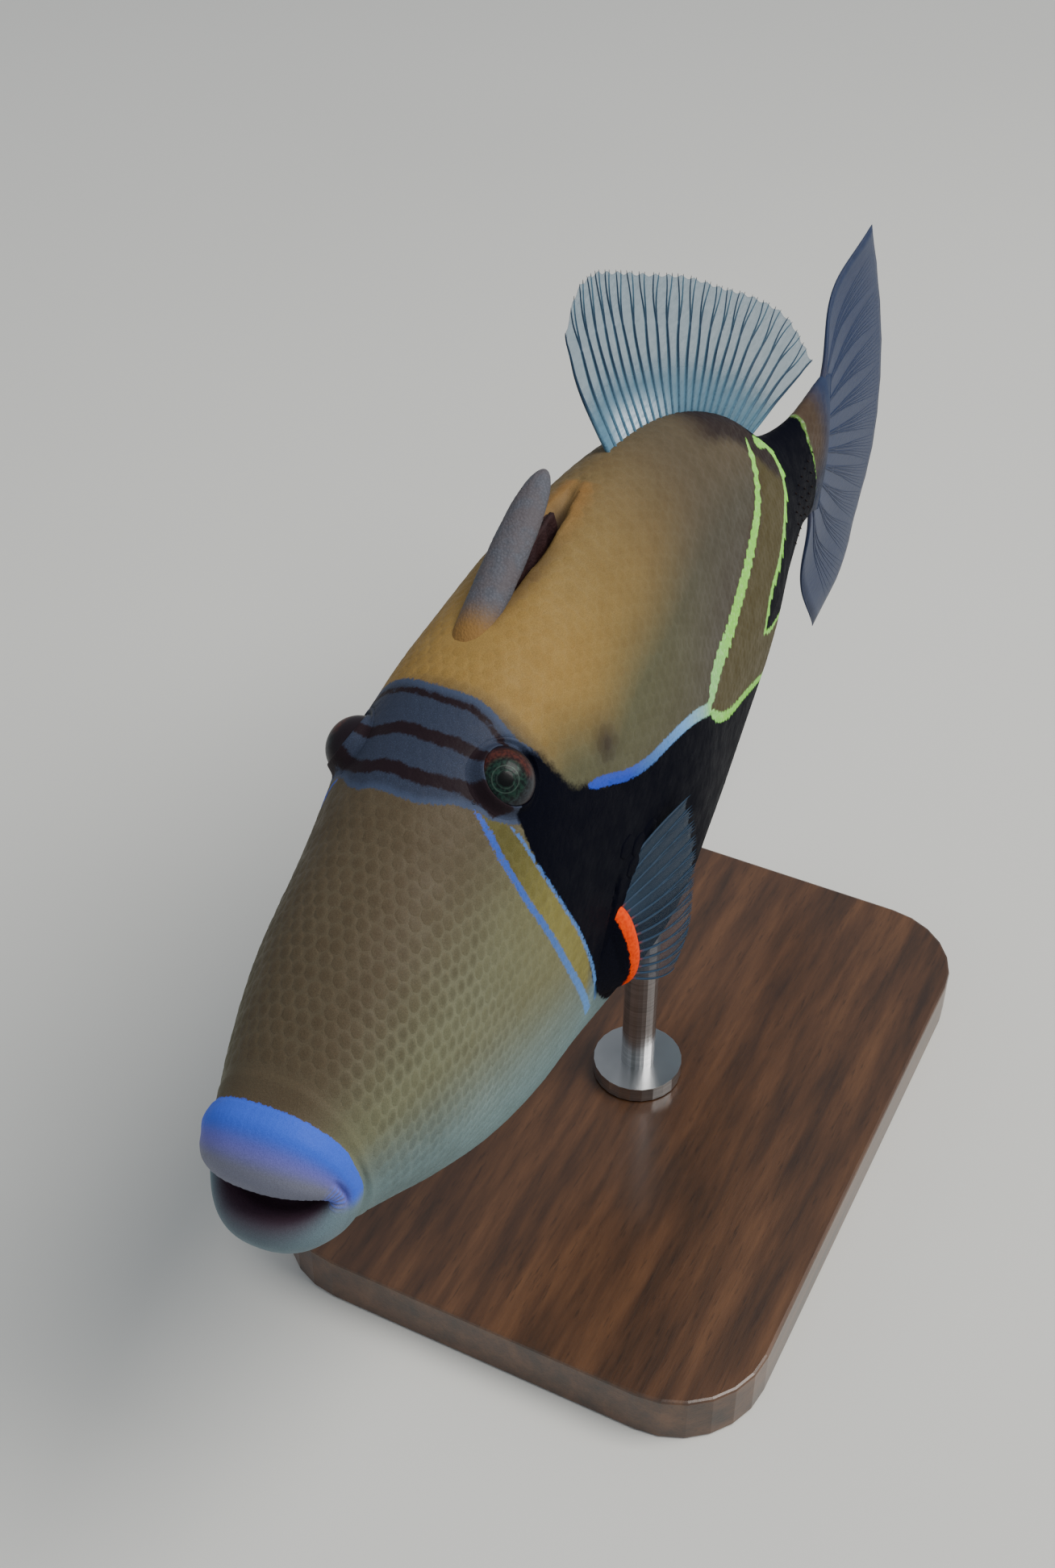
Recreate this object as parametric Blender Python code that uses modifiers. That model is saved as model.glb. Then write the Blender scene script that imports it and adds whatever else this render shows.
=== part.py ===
"""Reef triggerfish, life-size, on a plain display stand.

The fish is drawn in its own frame, in millimetres: x runs from the snout to the tail,
the left side is at -y, and z is up. An empty then tilts and lifts it over the stand.
"""
import math

import bmesh
import bpy
from mathutils import Euler, Matrix, Vector

MM = 0.001

# Clearance that neighbouring pieces keep
GAP = 0.3

# Pose of the fish over the stand
BANK = math.radians(-7.0)
PITCH = math.radians(-3.0)
BELLY_HEIGHT = 49.0

# Lines of the body: one column for each station along it
STATION_X = (-4, 4, 12, 22, 36, 50, 62, 75, 92, 112, 130, 148, 163, 176, 190)
BACK_Z = (8.5, 13, 18.4, 24.8, 31.5, 37.5, 41, 43, 45, 44.5, 39.5, 29.5, 17, 11.8, 12)
BELLY_Z = (-5, -8.2, -12, -18.5, -27.5, -33.5, -36, -39, -42.5, -41, -34, -25, -16, -11.2, -12)
HALF_WIDTH = (7.2, 9.6, 12.6, 15.2, 16.4, 17.4, 17.6, 18, 18.5, 15.5, 12.8, 9.8, 6.4, 4, 2.6)
WIDEST_Z = (2, 2, 2, 3, 6.5, 9.5, 10, 8, 5, 3, 2, 1, 1, 0, 0)
BACK_ROUND = (2.2, 2.2, 2.3, 2.3, 2.2, 2.2, 2.3, 2.2, 2, 1.9, 1.8, 1.8, 1.9, 2, 2)
BELLY_ROUND = (2.2, 2.2, 2.1, 2, 1.95, 1.85, 1.8, 1.75, 1.7, 1.6, 1.6, 1.7, 1.8, 2, 2)

# Where the body is parted, the snout turned a little to the right, and the dropped tail
SNOUT_FRONT = -1.2
SNOUT_DOME = 4.0
SNOUT_SWING = 1.2
SNOUT_SWING_END = 36.0
HEAD_END = 60.0
TRUNK_END = 162.0
BODY_END = 189.0
TAIL_DROP = math.radians(22.0)
TAIL_DROP_START = 163.0

# Fold of skin that arches over the upper lip
FOLD_X = 3.4
FOLD_LENGTH = 2.0
FOLD_HEIGHT = 0.6

# Eyes
EYE_X = 51.5
EYE_Y = 10.4
EYE_Z = 31.0
EYE_RADIUS = 5.0
EYE_TILT = math.radians(38.0)
ORBIT_HEIGHT = 1.0
ORBIT_SPREAD = 7.0
ORBIT_RIM_OUT = 2.3
ORBIT_RIM_RADIUS = 4.5
ORBIT_RIM_THICK = 0.45

# Lips: centre line from the corner of the mouth round the front
LIP_CORNER_X = 5.6
LIP_CORNER_Y = 8.9
UPPER_LIP = {"front_x": -1.4, "shift_y": 0.1, "corner_z": 3.2, "front_z": 6.8,
             "tall": 3.0, "thick": 2.7}
LOWER_LIP = {"front_x": -2.8, "shift_y": 0.9, "corner_z": 0.4, "front_z": -2.8,
             "tall": 2.6, "thick": 2.6}
LIP_CORNER_SIZE = 0.42
MOUTH_CENTRE_X = 2.5
MOUTH_CENTRE_Z = 1.8
MOUTH_RADII = (8.5, 8.2, 2.6)

# Two nostrils in front of each eye: places along and up
NOSTRILS = ((43.5, 26.6), (45.4, 28.4))
NOSTRIL_RADIUS = 0.75

# Gill slit, from its upper to its lower end, and the bony scutes behind it
GILL_TOP = (66.5, 3.0)
GILL_BOTTOM = (61.9, -8.5)
GILL_DEPTH = 2.0
GILL_WIDTH = 1.0
SCUTES = ((69.5, 6.5), (72.8, 4.2), (71.0, 1.6), (74.8, 0.4), (72.6, -2.0), (76.2, 4.0))
SCUTE_RADIUS = 1.9
SCUTE_HEIGHT = 0.45
SCUTE_SUNK = 1.0

# Groove of the first dorsal fin, its spines, and the web under the first of them
GROOVE_START = 68.5
GROOVE_END = 102.0
GROOVE_DEPTH = 3.8
GROOVE_HALF_WIDTH = 3.9
FIRST_SPINE = {"root": (67.5, 0.7, 40.4), "tip": (92.8, 0.7, 51.4), "wide": 2.95, "deep": 2.3}
SECOND_SPINE = {"root": (82.0, 2.0, 39.4), "tip": (94.0, 2.0, 44.0), "wide": 1.1, "deep": 1.0}
SPINE_WEB_X = (73.0, 91.0)
SPINE_WEB_Y = -0.4
SPINE_WEB_HALF_WIDTH = 0.9
SPINE_WEB_CLEAR = 0.6
SPINE_WEB_SUNK = 0.8

# Rows of small hooked spines on each side of the tail's base
SPINULE_ROWS = (-3.4, 0.2, 3.8)
SPINULE_X = (164.5, 184.5)
SPINULE_COUNT = 5
SPINULE_RADIUS = 0.75
SPINULE_HEIGHT = 1.0
SPINULE_SUNK = 0.8

# Unpaired fins: rays counted for this species, places of root and tips along the body
RAY_THICK = 1.1
WEB_THICK = 0.55
WEB_REACH = 0.9
DORSAL_RAYS = 24
DORSAL_ROOT_X = (109.5, 161.0)
DORSAL_TIP_AT = (0.0, 0.05, 0.14, 0.25, 0.36, 0.5, 0.62, 0.74, 0.85, 1.0)
DORSAL_TIP_X = (110.8, 114.6, 119.5, 125.3, 132.0, 142.0, 151.6, 162.0, 173.5, 183.5)
DORSAL_TIP_Y = (5.0, 5.0, 4.5, 3.7, 2.0, 0.0, -1.2, -2.0, -2.5, -3.0)
DORSAL_TIP_Z = (63.0, 66.8, 68.2, 66.0, 62.6, 57.5, 51.1, 44.4, 35.4, 21.3)
ANAL_RAYS = 21
ANAL_ROOT_X = (122.0, 160.0)
ANAL_TIP_AT = (0.0, 0.06, 0.14, 0.35, 0.6, 0.8, 1.0)
ANAL_TIP_X = (124.0, 127.5, 132.0, 143.0, 158.0, 170.0, 181.0)
ANAL_TIP_Y = (12.0, 13.5, 14.0, 13.0, 11.0, 9.0, 7.5)
ANAL_TIP_Z = (-52.5, -56.0, -56.0, -51.0, -43.0, -34.5, -24.5)

CAUDAL_RAYS = 12
CAUDAL_HALF_ROOT = 12.2
CAUDAL_TIP_AT = (0.0, 0.1, 0.25, 0.5, 0.75, 0.9, 1.0)
CAUDAL_TIP_X = (222.0, 226.0, 226.6, 221.0, 212.4, 203.7, 193.4)
CAUDAL_TIP_Y = (-0.2, 0.5, 0.1, -0.1, 1.5, 2.3, 4.2)
CAUDAL_TIP_Z = (28.8, 18.5, 4.6, -14.8, -29.7, -39.0, -45.0)
CAUDAL_BOW = 4.2
CAUDAL_SIDE_BOW = 2.0

# Pectoral fins, given for the left one
PECTORAL_RAYS = 14
PECTORAL_ROOT_TOP = (67.8, -17.4, -4.6)
PECTORAL_ROOT_BOTTOM = (65.4, -15.7, -18.6)
PECTORAL_TIP_AT = (0.0, 0.25, 0.5, 0.75, 1.0)
PECTORAL_TIP_X = (85.0, 85.0, 82.2, 79.4, 74.6)
PECTORAL_TIP_Y = (-20.4, -20.5, -20.7, -20.7, -20.0)
PECTORAL_TIP_Z = (4.4, -4.9, -11.4, -17.1, -21.4)

# Pelvic knob under the belly
PELVIC_X = (83.0, 96.0)

# Stand
BASE_SIZE = (124.0, 88.0, 10.0)
BASE_CORNER = 16.0
BASE_EDGE = 1.6
ROD_RADIUS = 3.0
COLLAR_RADIUS = 8.0
COLLAR_HEIGHT = 3.0
ROD_SOCKET_DEPTH = 8.0
BELLY_POINT_X = 103.0


def spline(xs, ys, x):
    """Smooth curve through named points, with its slope taken from its neighbours."""
    x = min(max(x, xs[0]), xs[-1])
    steps = [(ys[i + 1] - ys[i]) / (xs[i + 1] - xs[i]) for i in range(len(xs) - 1)]
    slopes = [steps[0]]
    for i in range(1, len(xs) - 1):
        before = xs[i] - xs[i - 1]
        after = xs[i + 1] - xs[i]
        slopes.append((steps[i] * before + steps[i - 1] * after) / (before + after))
    slopes.append(steps[-1])
    i = max(k for k in range(len(xs) - 1) if xs[k] <= x)
    width = xs[i + 1] - xs[i]
    t = (x - xs[i]) / width
    return ((2 * t ** 3 - 3 * t ** 2 + 1) * ys[i] + (t ** 3 - 2 * t ** 2 + t) * width * slopes[i]
            + (3 * t ** 2 - 2 * t ** 3) * ys[i + 1] + (t ** 3 - t ** 2) * width * slopes[i + 1])


def back_z(x):
    return spline(STATION_X, BACK_Z, x)


def belly_z(x):
    return spline(STATION_X, BELLY_Z, x)


def tail_shift(x, z):
    """The tail drops by leaning the last sections back above and forward below."""
    along = min(max((x - TAIL_DROP_START) / (BODY_END - TAIL_DROP_START), 0.0), 1.0)
    ease = along * along * (3 - 2 * along)
    return math.tan(TAIL_DROP) * ease * z


def snout_swing(x):
    """Sideways shift of the snout, which points a little to the right."""
    return SNOUT_SWING * max(1 - x / SNOUT_SWING_END, 0.0) ** 2


def orbit_bulge(x, z):
    """Height of the mound that carries the eye."""
    distance = math.hypot(x - EYE_X, z - EYE_Z) / ORBIT_SPREAD
    return ORBIT_HEIGHT * math.exp(-distance * distance)


def skin(x, turn, side):
    """Point of the body's surface: turn runs from the back, 0, to the belly, pi."""
    half = spline(STATION_X, HALF_WIDTH, x)
    middle = spline(STATION_X, WIDEST_Z, x)
    top = back_z(x)
    bottom = belly_z(x)
    closing = 1.0
    if x < SNOUT_FRONT + SNOUT_DOME:
        depth = (SNOUT_FRONT + SNOUT_DOME - x) / SNOUT_DOME
        closing = math.sqrt(max(1 - 0.82 * depth * depth, 0.0))
    upper = math.cos(turn) >= 0
    power = 2 / spline(STATION_X, BACK_ROUND if upper else BELLY_ROUND, x)
    reach = (top if upper else bottom) - middle
    fold = 0.0
    if upper:
        away = (x - FOLD_X) / FOLD_LENGTH
        fold = FOLD_HEIGHT * math.exp(-away * away)
    y = (half + fold) * closing * math.sin(turn) ** power
    z = middle + closing * (reach + fold) * abs(math.cos(turn)) ** power
    if upper:
        y += orbit_bulge(x, z) * math.sin(turn)
    return Vector((x + tail_shift(x, z), side * y + snout_swing(x), z))


def skin_at(x, z, side):
    """Point and outward direction of the skin at a place in the side view."""
    point = Vector((x, side * skin_half_width(x, z), z))
    behind = Vector((x + 1, side * skin_half_width(x + 1, z), z))
    above = Vector((x, side * skin_half_width(x, z + 1), z + 1))
    out = (behind - point).cross(above - point).normalized()
    if out.y * side < 0:
        out.negate()
    return point + Vector((tail_shift(x, z), snout_swing(x), 0.0)), out


def skin_half_width(x, z):
    """Half the body's width at a height."""
    middle = spline(STATION_X, WIDEST_Z, x)
    upper = z >= middle
    reach = (back_z(x) if upper else belly_z(x)) - middle
    power = spline(STATION_X, BACK_ROUND if upper else BELLY_ROUND, x)
    share = min(abs((z - middle) / reach), 1.0)
    half = spline(STATION_X, HALF_WIDTH, x) * (1 - share ** power) ** (1 / power)
    return half + (orbit_bulge(x, z) if upper else 0.0)


# Mesh tools

def new_object(name, mesh, collection="fish"):
    thing = bpy.data.objects.new(name, mesh)
    bpy.data.collections[collection].objects.link(thing)
    return thing


def mesh_from(name, points, faces):
    """Mesh in metres from points in millimetres, its faces turned outwards."""
    mesh = bpy.data.meshes.new(name)
    mesh.from_pydata([tuple(Vector(point) * MM) for point in points], [], faces)
    body = bmesh.new()
    body.from_mesh(mesh)
    bmesh.ops.recalc_face_normals(body, faces=body.faces)
    body.to_mesh(mesh)
    body.free()
    return mesh


def loft(name, rings, collection="fish"):
    """Closed body through rings of equal counts, its ends closed on a middle point."""
    points = [point for ring in rings for point in ring]
    count = len(rings[0])
    faces = []
    for row in range(len(rings) - 1):
        for i in range(count):
            j = (i + 1) % count
            faces.append((row * count + i, row * count + j,
                          (row + 1) * count + j, (row + 1) * count + i))
    for row in (0, len(rings) - 1):
        middle = sum((Vector(p) for p in rings[row]), Vector()) / count
        points.append(middle)
        for i in range(count):
            faces.append((row * count + i, row * count + (i + 1) % count, len(points) - 1))
    return new_object(name, mesh_from(name, points, faces), collection)


def finished_mesh(thing):
    """Apply an object's modifiers and keep only its largest closed surface."""
    bpy.context.view_layer.update()
    graph = bpy.context.evaluated_depsgraph_get()
    mesh = bpy.data.meshes.new_from_object(thing.evaluated_get(graph))
    body = bmesh.new()
    body.from_mesh(mesh)
    bmesh.ops.remove_doubles(body, verts=body.verts, dist=0.01 * MM)
    bmesh.ops.dissolve_degenerate(body, edges=body.edges, dist=0.01 * MM)
    left = set(body.verts)
    shells = []
    while left:
        shell = {left.pop()}
        edge = list(shell)
        while edge:
            near = {e.other_vert(v) for v in edge for e in v.link_edges} - shell
            shell |= near
            edge = list(near)
        left -= shell
        shells.append(shell)
    keep = max(shells, key=len)
    bmesh.ops.delete(body, geom=[v for v in body.verts if v not in keep], context="VERTS")
    bmesh.ops.triangulate(body, faces=body.faces)
    body.to_mesh(mesh)
    body.free()
    thing.modifiers.clear()
    thing.data = mesh


def combine(thing, others, operation):
    """Cut the others from a piece, or join them to it, and remove them."""
    group = bpy.data.collections.new("operands")
    bpy.context.scene.collection.children.link(group)
    for other in others:
        for holder in list(other.users_collection):
            holder.objects.unlink(other)
        group.objects.link(other)
    boolean = thing.modifiers.new(operation.lower(), "BOOLEAN")
    boolean.operation = operation
    boolean.operand_type = "COLLECTION"
    boolean.collection = group
    boolean.solver = "EXACT"
    finished_mesh(thing)
    for other in others:
        bpy.data.objects.remove(other)
    bpy.data.collections.remove(group)


def ellipsoid(name, centre, radii, segments=20, rings=12, collection="fish"):
    mesh = bpy.data.meshes.new(name)
    body = bmesh.new()
    bmesh.ops.create_uvsphere(body, u_segments=segments, v_segments=rings, radius=1.0)
    shape = Matrix.Translation(Vector(centre) * MM) @ Matrix.Diagonal((*(Vector(radii) * MM), 1.0))
    bmesh.ops.transform(body, matrix=shape, verts=body.verts)
    body.to_mesh(mesh)
    body.free()
    return new_object(name, mesh, collection)


def stud(name, base, out, radius, height, sunk, top_share, sides):
    """Small cone or plate that stands on a surface, its root sunk in it."""
    mesh = bpy.data.meshes.new(name)
    body = bmesh.new()
    low = radius * (1 + sunk / height * (1 - top_share))
    bmesh.ops.create_cone(body, cap_ends=True, segments=sides, radius1=low * MM,
                          radius2=radius * top_share * MM, depth=(height + sunk) * MM)
    turn = out.to_track_quat("Z", "Y").to_matrix().to_4x4()
    middle = base + out * (height - sunk) / 2
    bmesh.ops.transform(body, matrix=Matrix.Translation(middle * MM) @ turn, verts=body.verts)
    body.to_mesh(mesh)
    body.free()
    return new_object(name, mesh)


def finish(thing, colour, roughness, metallic=0.0):
    """Give a piece its own material and smooth shading."""
    material = bpy.data.materials.new(thing.name)
    material.use_nodes = True
    shader = material.node_tree.nodes["Principled BSDF"]
    shader.inputs["Base Color"].default_value = (*colour, 1.0)
    shader.inputs["Roughness"].default_value = roughness
    shader.inputs["Metallic"].default_value = metallic
    thing.data.materials.clear()
    thing.data.materials.append(material)
    thing.data.shade_smooth()
    thing.data.set_sharp_from_angle(angle=math.radians(40))
    return thing


# Body

def ring(x, count):
    """Closed ring of the skin at one station, down the left side and up the right."""
    half = count // 2
    left = [skin(x, math.pi * i / half, -1) for i in range(half + 1)]
    right = [skin(x, math.pi * i / half, 1) for i in range(half - 1, 0, -1)]
    return left + right


def body_length(name, start, end, step, count, crowd=1.0):
    """Length of the body; crowd above 1 sets the rings closer at its start."""
    rows = max(2, round((end - start) / step))
    return loft(name, [ring(start + (end - start) * (i / rows) ** crowd, count)
                       for i in range(rows + 1)])


def lip_rings(lip, extra=0.0):
    """Sections round the mouth, grown by extra for the seat that the lip lies in."""
    steps = 14
    sides = 10
    rings = []
    for step in range(steps + 1):
        turn = math.pi * (step / steps - 0.5)
        forward = math.cos(turn) ** 0.85
        centre = Vector((LIP_CORNER_X + (lip["front_x"] + lip["thick"] - LIP_CORNER_X) * forward,
                         snout_swing(LIP_CORNER_X) + lip["shift_y"]
                         + (LIP_CORNER_Y - 0.6 * lip["thick"] * forward) * math.sin(turn),
                         lip["corner_z"] + (lip["front_z"] - lip["corner_z"]) * forward))
        out = Vector((-math.cos(turn), math.sin(turn), 0.0)).normalized()
        swell = LIP_CORNER_SIZE + (1 - LIP_CORNER_SIZE) * forward
        thick = lip["thick"] * swell + extra
        tall = lip["tall"] * swell + extra
        rings.append([centre + out * thick * math.cos(2 * math.pi * i / sides)
                      + Vector((0, 0, tall * math.sin(2 * math.pi * i / sides)))
                      for i in range(sides)])
    return rings


def make_lips():
    finish(loft("upper_lip", lip_rings(UPPER_LIP)), (0.52, 0.55, 0.62), 0.4)
    finish(loft("lower_lip", lip_rings(LOWER_LIP)), (0.36, 0.42, 0.47), 0.4)


def eye_centre(side):
    return Vector((EYE_X, side * EYE_Y, EYE_Z))


def orbit_rim(side):
    """Rounded fold of skin round an eye."""
    out = Vector((0.0, side * math.cos(EYE_TILT), math.sin(EYE_TILT)))
    across = Vector((1.0, 0.0, 0.0))
    up = out.cross(across)
    steps = 20
    sides = 6
    points = []
    faces = []
    for step in range(steps):
        turn = 2 * math.pi * step / steps
        away = across * math.cos(turn) + up * math.sin(turn)
        centre = eye_centre(side) + out * ORBIT_RIM_OUT + away * ORBIT_RIM_RADIUS
        for i in range(sides):
            angle = 2 * math.pi * i / sides
            section = away * math.cos(angle) + out * math.sin(angle)
            points.append(centre + section * ORBIT_RIM_THICK)
            here = step * sides
            there = (step + 1) % steps * sides
            j = (i + 1) % sides
            faces.append((here + i, here + j, there + j, there + i))
    return new_object("orbit_rim", mesh_from("orbit_rim", points, faces))


def make_head():
    head = body_length("head", SNOUT_FRONT, HEAD_END, 3.6, 38, 1.3)
    combine(head, [orbit_rim(-1), orbit_rim(1)], "UNION")
    mouth = (MOUTH_CENTRE_X, snout_swing(MOUTH_CENTRE_X), MOUTH_CENTRE_Z)
    cutters = [loft("upper_lip_seat", lip_rings(UPPER_LIP, GAP)),
               loft("lower_lip_seat", lip_rings(LOWER_LIP, GAP)),
               ellipsoid("mouth", mouth, MOUTH_RADII, 20, 10)]
    for side in (-1, 1):
        cutters.append(ellipsoid("eye_socket", eye_centre(side), (EYE_RADIUS + GAP,) * 3, 22, 14))
        for x, z in NOSTRILS:
            place, out = skin_at(x, z, side)
            cutters.append(ellipsoid("nostril", place, (NOSTRIL_RADIUS,) * 3, 8, 6))
    combine(head, cutters, "DIFFERENCE")
    finish(head, (0.27, 0.22, 0.15), 0.45)


def make_eyes():
    for name, side in (("eye_left", -1), ("eye_right", 1)):
        eye = ellipsoid(name, eye_centre(side), (EYE_RADIUS,) * 3, 20, 12)
        finish(eye, (0.06, 0.07, 0.06), 0.1)


def gill_cutter(side):
    """Slanted slot that follows the skin behind the cheek."""
    rings = []
    for step in range(6):
        share = step / 5
        x = GILL_TOP[0] + (GILL_BOTTOM[0] - GILL_TOP[0]) * share
        z = GILL_TOP[1] + (GILL_BOTTOM[1] - GILL_TOP[1]) * share
        y = skin_half_width(x, z)
        half = GILL_WIDTH / 2 * (0.5 + 0.5 * math.sin(math.pi * (0.15 + 0.7 * share)))
        inner = side * (y - GILL_DEPTH)
        outer = side * (y + GILL_DEPTH)
        rings.append([Vector((x - half, inner, z)), Vector((x + half, inner, z)),
                      Vector((x + half, outer, z)), Vector((x - half, outer, z))])
    return loft("gill_slit", rings)


def groove_cutter():
    """Long trough in the back, rounded at both ends and along its floor."""
    rings = []
    for step in range(13):
        share = step / 12
        x = GROOVE_START + (GROOVE_END - GROOVE_START) * share
        swell = math.sin(math.pi * min(0.03 + share * 1.2, 1.0) / 2) * (1 - share ** 4) + 0.04
        half = GROOVE_HALF_WIDTH * swell * (1 - 0.35 * share)
        depth = GROOVE_DEPTH * swell
        edge = back_z(x)
        floor = [Vector((x, half * math.cos(math.pi * i / 8), edge - depth * math.sin(math.pi * i / 8)))
                 for i in range(9)]
        rings.append([Vector((x, half, edge + 5))] + floor + [Vector((x, -half, edge + 5))])
    return loft("groove", rings)


def spine_rings(spine, extra=0.0):
    """Sections of a stout spine, rounded at its tip."""
    root = Vector(spine["root"])
    tip = Vector(spine["tip"])
    along = (tip - root).normalized()
    up = Vector((-along.z, 0.0, along.x))
    length = (tip - root).length + extra
    rings = []
    for share in (0.0, 0.15, 0.35, 0.55, 0.72, 0.85, 0.94, 0.985):
        taper = (0.95 + 0.15 * share - 0.4 * share ** 3) * math.sqrt(1 - share ** 9)
        wide = spine["wide"] * taper + extra
        deep = spine["deep"] * taper + extra
        centre = root + along * (length * share - (extra if share == 0.0 else 0.0))
        rings.append([centre + up * deep * math.cos(2 * math.pi * i / 12)
                      + Vector((0, wide * math.sin(2 * math.pi * i / 12), 0)) for i in range(12)])
    return rings


def spine_web_rings(extra=0.0):
    """Web that runs from under the first spine down into the floor of the groove."""
    root = Vector(FIRST_SPINE["root"])
    along = Vector(FIRST_SPINE["tip"]) - root
    steps = 10
    rings = []
    for step in range(steps + 1):
        share = step / steps
        x = SPINE_WEB_X[0] + (SPINE_WEB_X[1] - SPINE_WEB_X[0]) * share
        under_spine = root.z + along.z * (x - root.x) / along.x \
            - FIRST_SPINE["deep"] * along.length / along.x - SPINE_WEB_CLEAR
        top = min(under_spine, back_z(x))
        bottom = back_z(x) - GROOVE_DEPTH - SPINE_WEB_SUNK
        swell = math.sin(math.pi * (0.1 + 0.8 * share)) ** 0.5
        centre = Vector((x + extra * (1 if step == steps else -1 if step == 0 else 0),
                         SPINE_WEB_Y, (top + bottom) / 2))
        wide = SPINE_WEB_HALF_WIDTH * swell + extra
        deep = (top - bottom) / 2 * swell + extra
        rings.append([centre + Vector((0, wide * math.sin(2 * math.pi * i / 10),
                                       deep * math.cos(2 * math.pi * i / 10)))
                      for i in range(10)])
    return rings


def make_spines():
    finish(loft("dorsal_spine_first", spine_rings(FIRST_SPINE)), (0.33, 0.35, 0.42), 0.55)
    finish(loft("dorsal_spine_second", spine_rings(SECOND_SPINE)), (0.20, 0.17, 0.18), 0.55)
    finish(loft("dorsal_spine_web", spine_web_rings()), (0.13, 0.10, 0.13), 0.5)


def pad_rings(side, extra=0.0):
    """Fleshy base of a pectoral fin, sunk into the flank."""
    top = Vector(PECTORAL_ROOT_TOP)
    bottom = Vector(PECTORAL_ROOT_BOTTOM)
    middle = (top + bottom) / 2
    down = (bottom - top).normalized()
    out = Vector((0.55, -0.83, 0.0)).normalized()
    across = down.cross(out)
    half_tall = (bottom - top).length / 2
    rings = []
    for reach, size in ((-3.0, 0.9), (0.0, 1.0), (1.5, 0.9), (2.6, 0.62)):
        centre = middle + out * (reach - (extra if reach < 0 else 0.0))
        tall = half_tall * size + extra
        thick = 2.6 * size + extra
        section = [centre + down * tall * math.cos(2 * math.pi * i / 12)
                   + across * thick * math.sin(2 * math.pi * i / 12) for i in range(12)]
        rings.append([Vector((p.x, -side * p.y, p.z)) for p in section])
    return rings


def rod_cutter():
    """Socket in the belly for the stand's rod, upright in the world."""
    return stand_cylinder("rod_socket", ROD_RADIUS + GAP, BELLY_HEIGHT - 10.0,
                          BELLY_HEIGHT + ROD_SOCKET_DEPTH + GAP, 24)


def make_trunk():
    trunk = body_length("trunk", HEAD_END + GAP, TRUNK_END - GAP, 4.6, 36)
    scutes = []
    for side in (-1, 1):
        for x, z in SCUTES:
            place, out = skin_at(x, z, side)
            scutes.append(stud("scute", place, out, SCUTE_RADIUS, SCUTE_HEIGHT, SCUTE_SUNK, 0.82, 6))
    combine(trunk, scutes, "UNION")
    socket = rod_cutter()
    socket.data.transform(fish_matrix().inverted())
    cutters = [groove_cutter(), socket, loft("pelvic_seat", pelvic_rings(GAP)),
               loft("spine_seat", spine_rings(FIRST_SPINE, GAP)),
               loft("spine_seat", spine_rings(SECOND_SPINE, GAP)),
               loft("web_seat", spine_web_rings(GAP))]
    for side in (-1, 1):
        cutters.append(gill_cutter(side))
        cutters.append(loft("pad_seat", pad_rings(side, GAP)))
    combine(trunk, cutters, "DIFFERENCE")
    finish(trunk, (0.38, 0.29, 0.16), 0.45)


def pelvic_rings(extra=0.0):
    """Rough knob at the end of the pelvis, sunk into the belly."""
    rings = []
    for step in range(8):
        share = step / 7
        x = PELVIC_X[0] + (PELVIC_X[1] - PELVIC_X[0]) * share
        x += extra * (1 if step == 7 else -1 if step == 0 else 0)
        swell = 0.25 + 0.75 * math.sin(math.pi * min(0.1 + 0.85 * share ** 1.6, 1.0))
        half = 1.9 * swell + extra
        centre_z = belly_z(x) - 0.4 - 1.4 * swell
        deep = 2.6 * swell + extra
        rings.append([Vector((x, half * math.sin(2 * math.pi * i / 12),
                              centre_z + deep * math.cos(2 * math.pi * i / 12)))
                      for i in range(12)])
    return rings


def make_pelvic_knob():
    finish(loft("pelvic_knob", pelvic_rings()), (0.10, 0.09, 0.11), 0.6)


def make_peduncle():
    peduncle = body_length("caudal_peduncle", TRUNK_END, BODY_END, 4.5, 28)
    spinules = []
    for side in (-1, 1):
        for row in SPINULE_ROWS:
            stagger = 0.5 if row == SPINULE_ROWS[1] else 0.0
            for i in range(SPINULE_COUNT):
                share = (i + stagger) / SPINULE_COUNT
                x = SPINULE_X[0] + (SPINULE_X[1] - SPINULE_X[0]) * share
                place, out = skin_at(x, row, side)
                forward = (out - Vector((0.5, 0.0, 0.0))).normalized()
                spinules.append(stud("spinule", place, forward, SPINULE_RADIUS, SPINULE_HEIGHT,
                                     SPINULE_SUNK, 0.15, 5))
    combine(peduncle, spinules, "UNION")
    finish(peduncle, (0.05, 0.05, 0.08), 0.45)


# Fins

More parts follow.
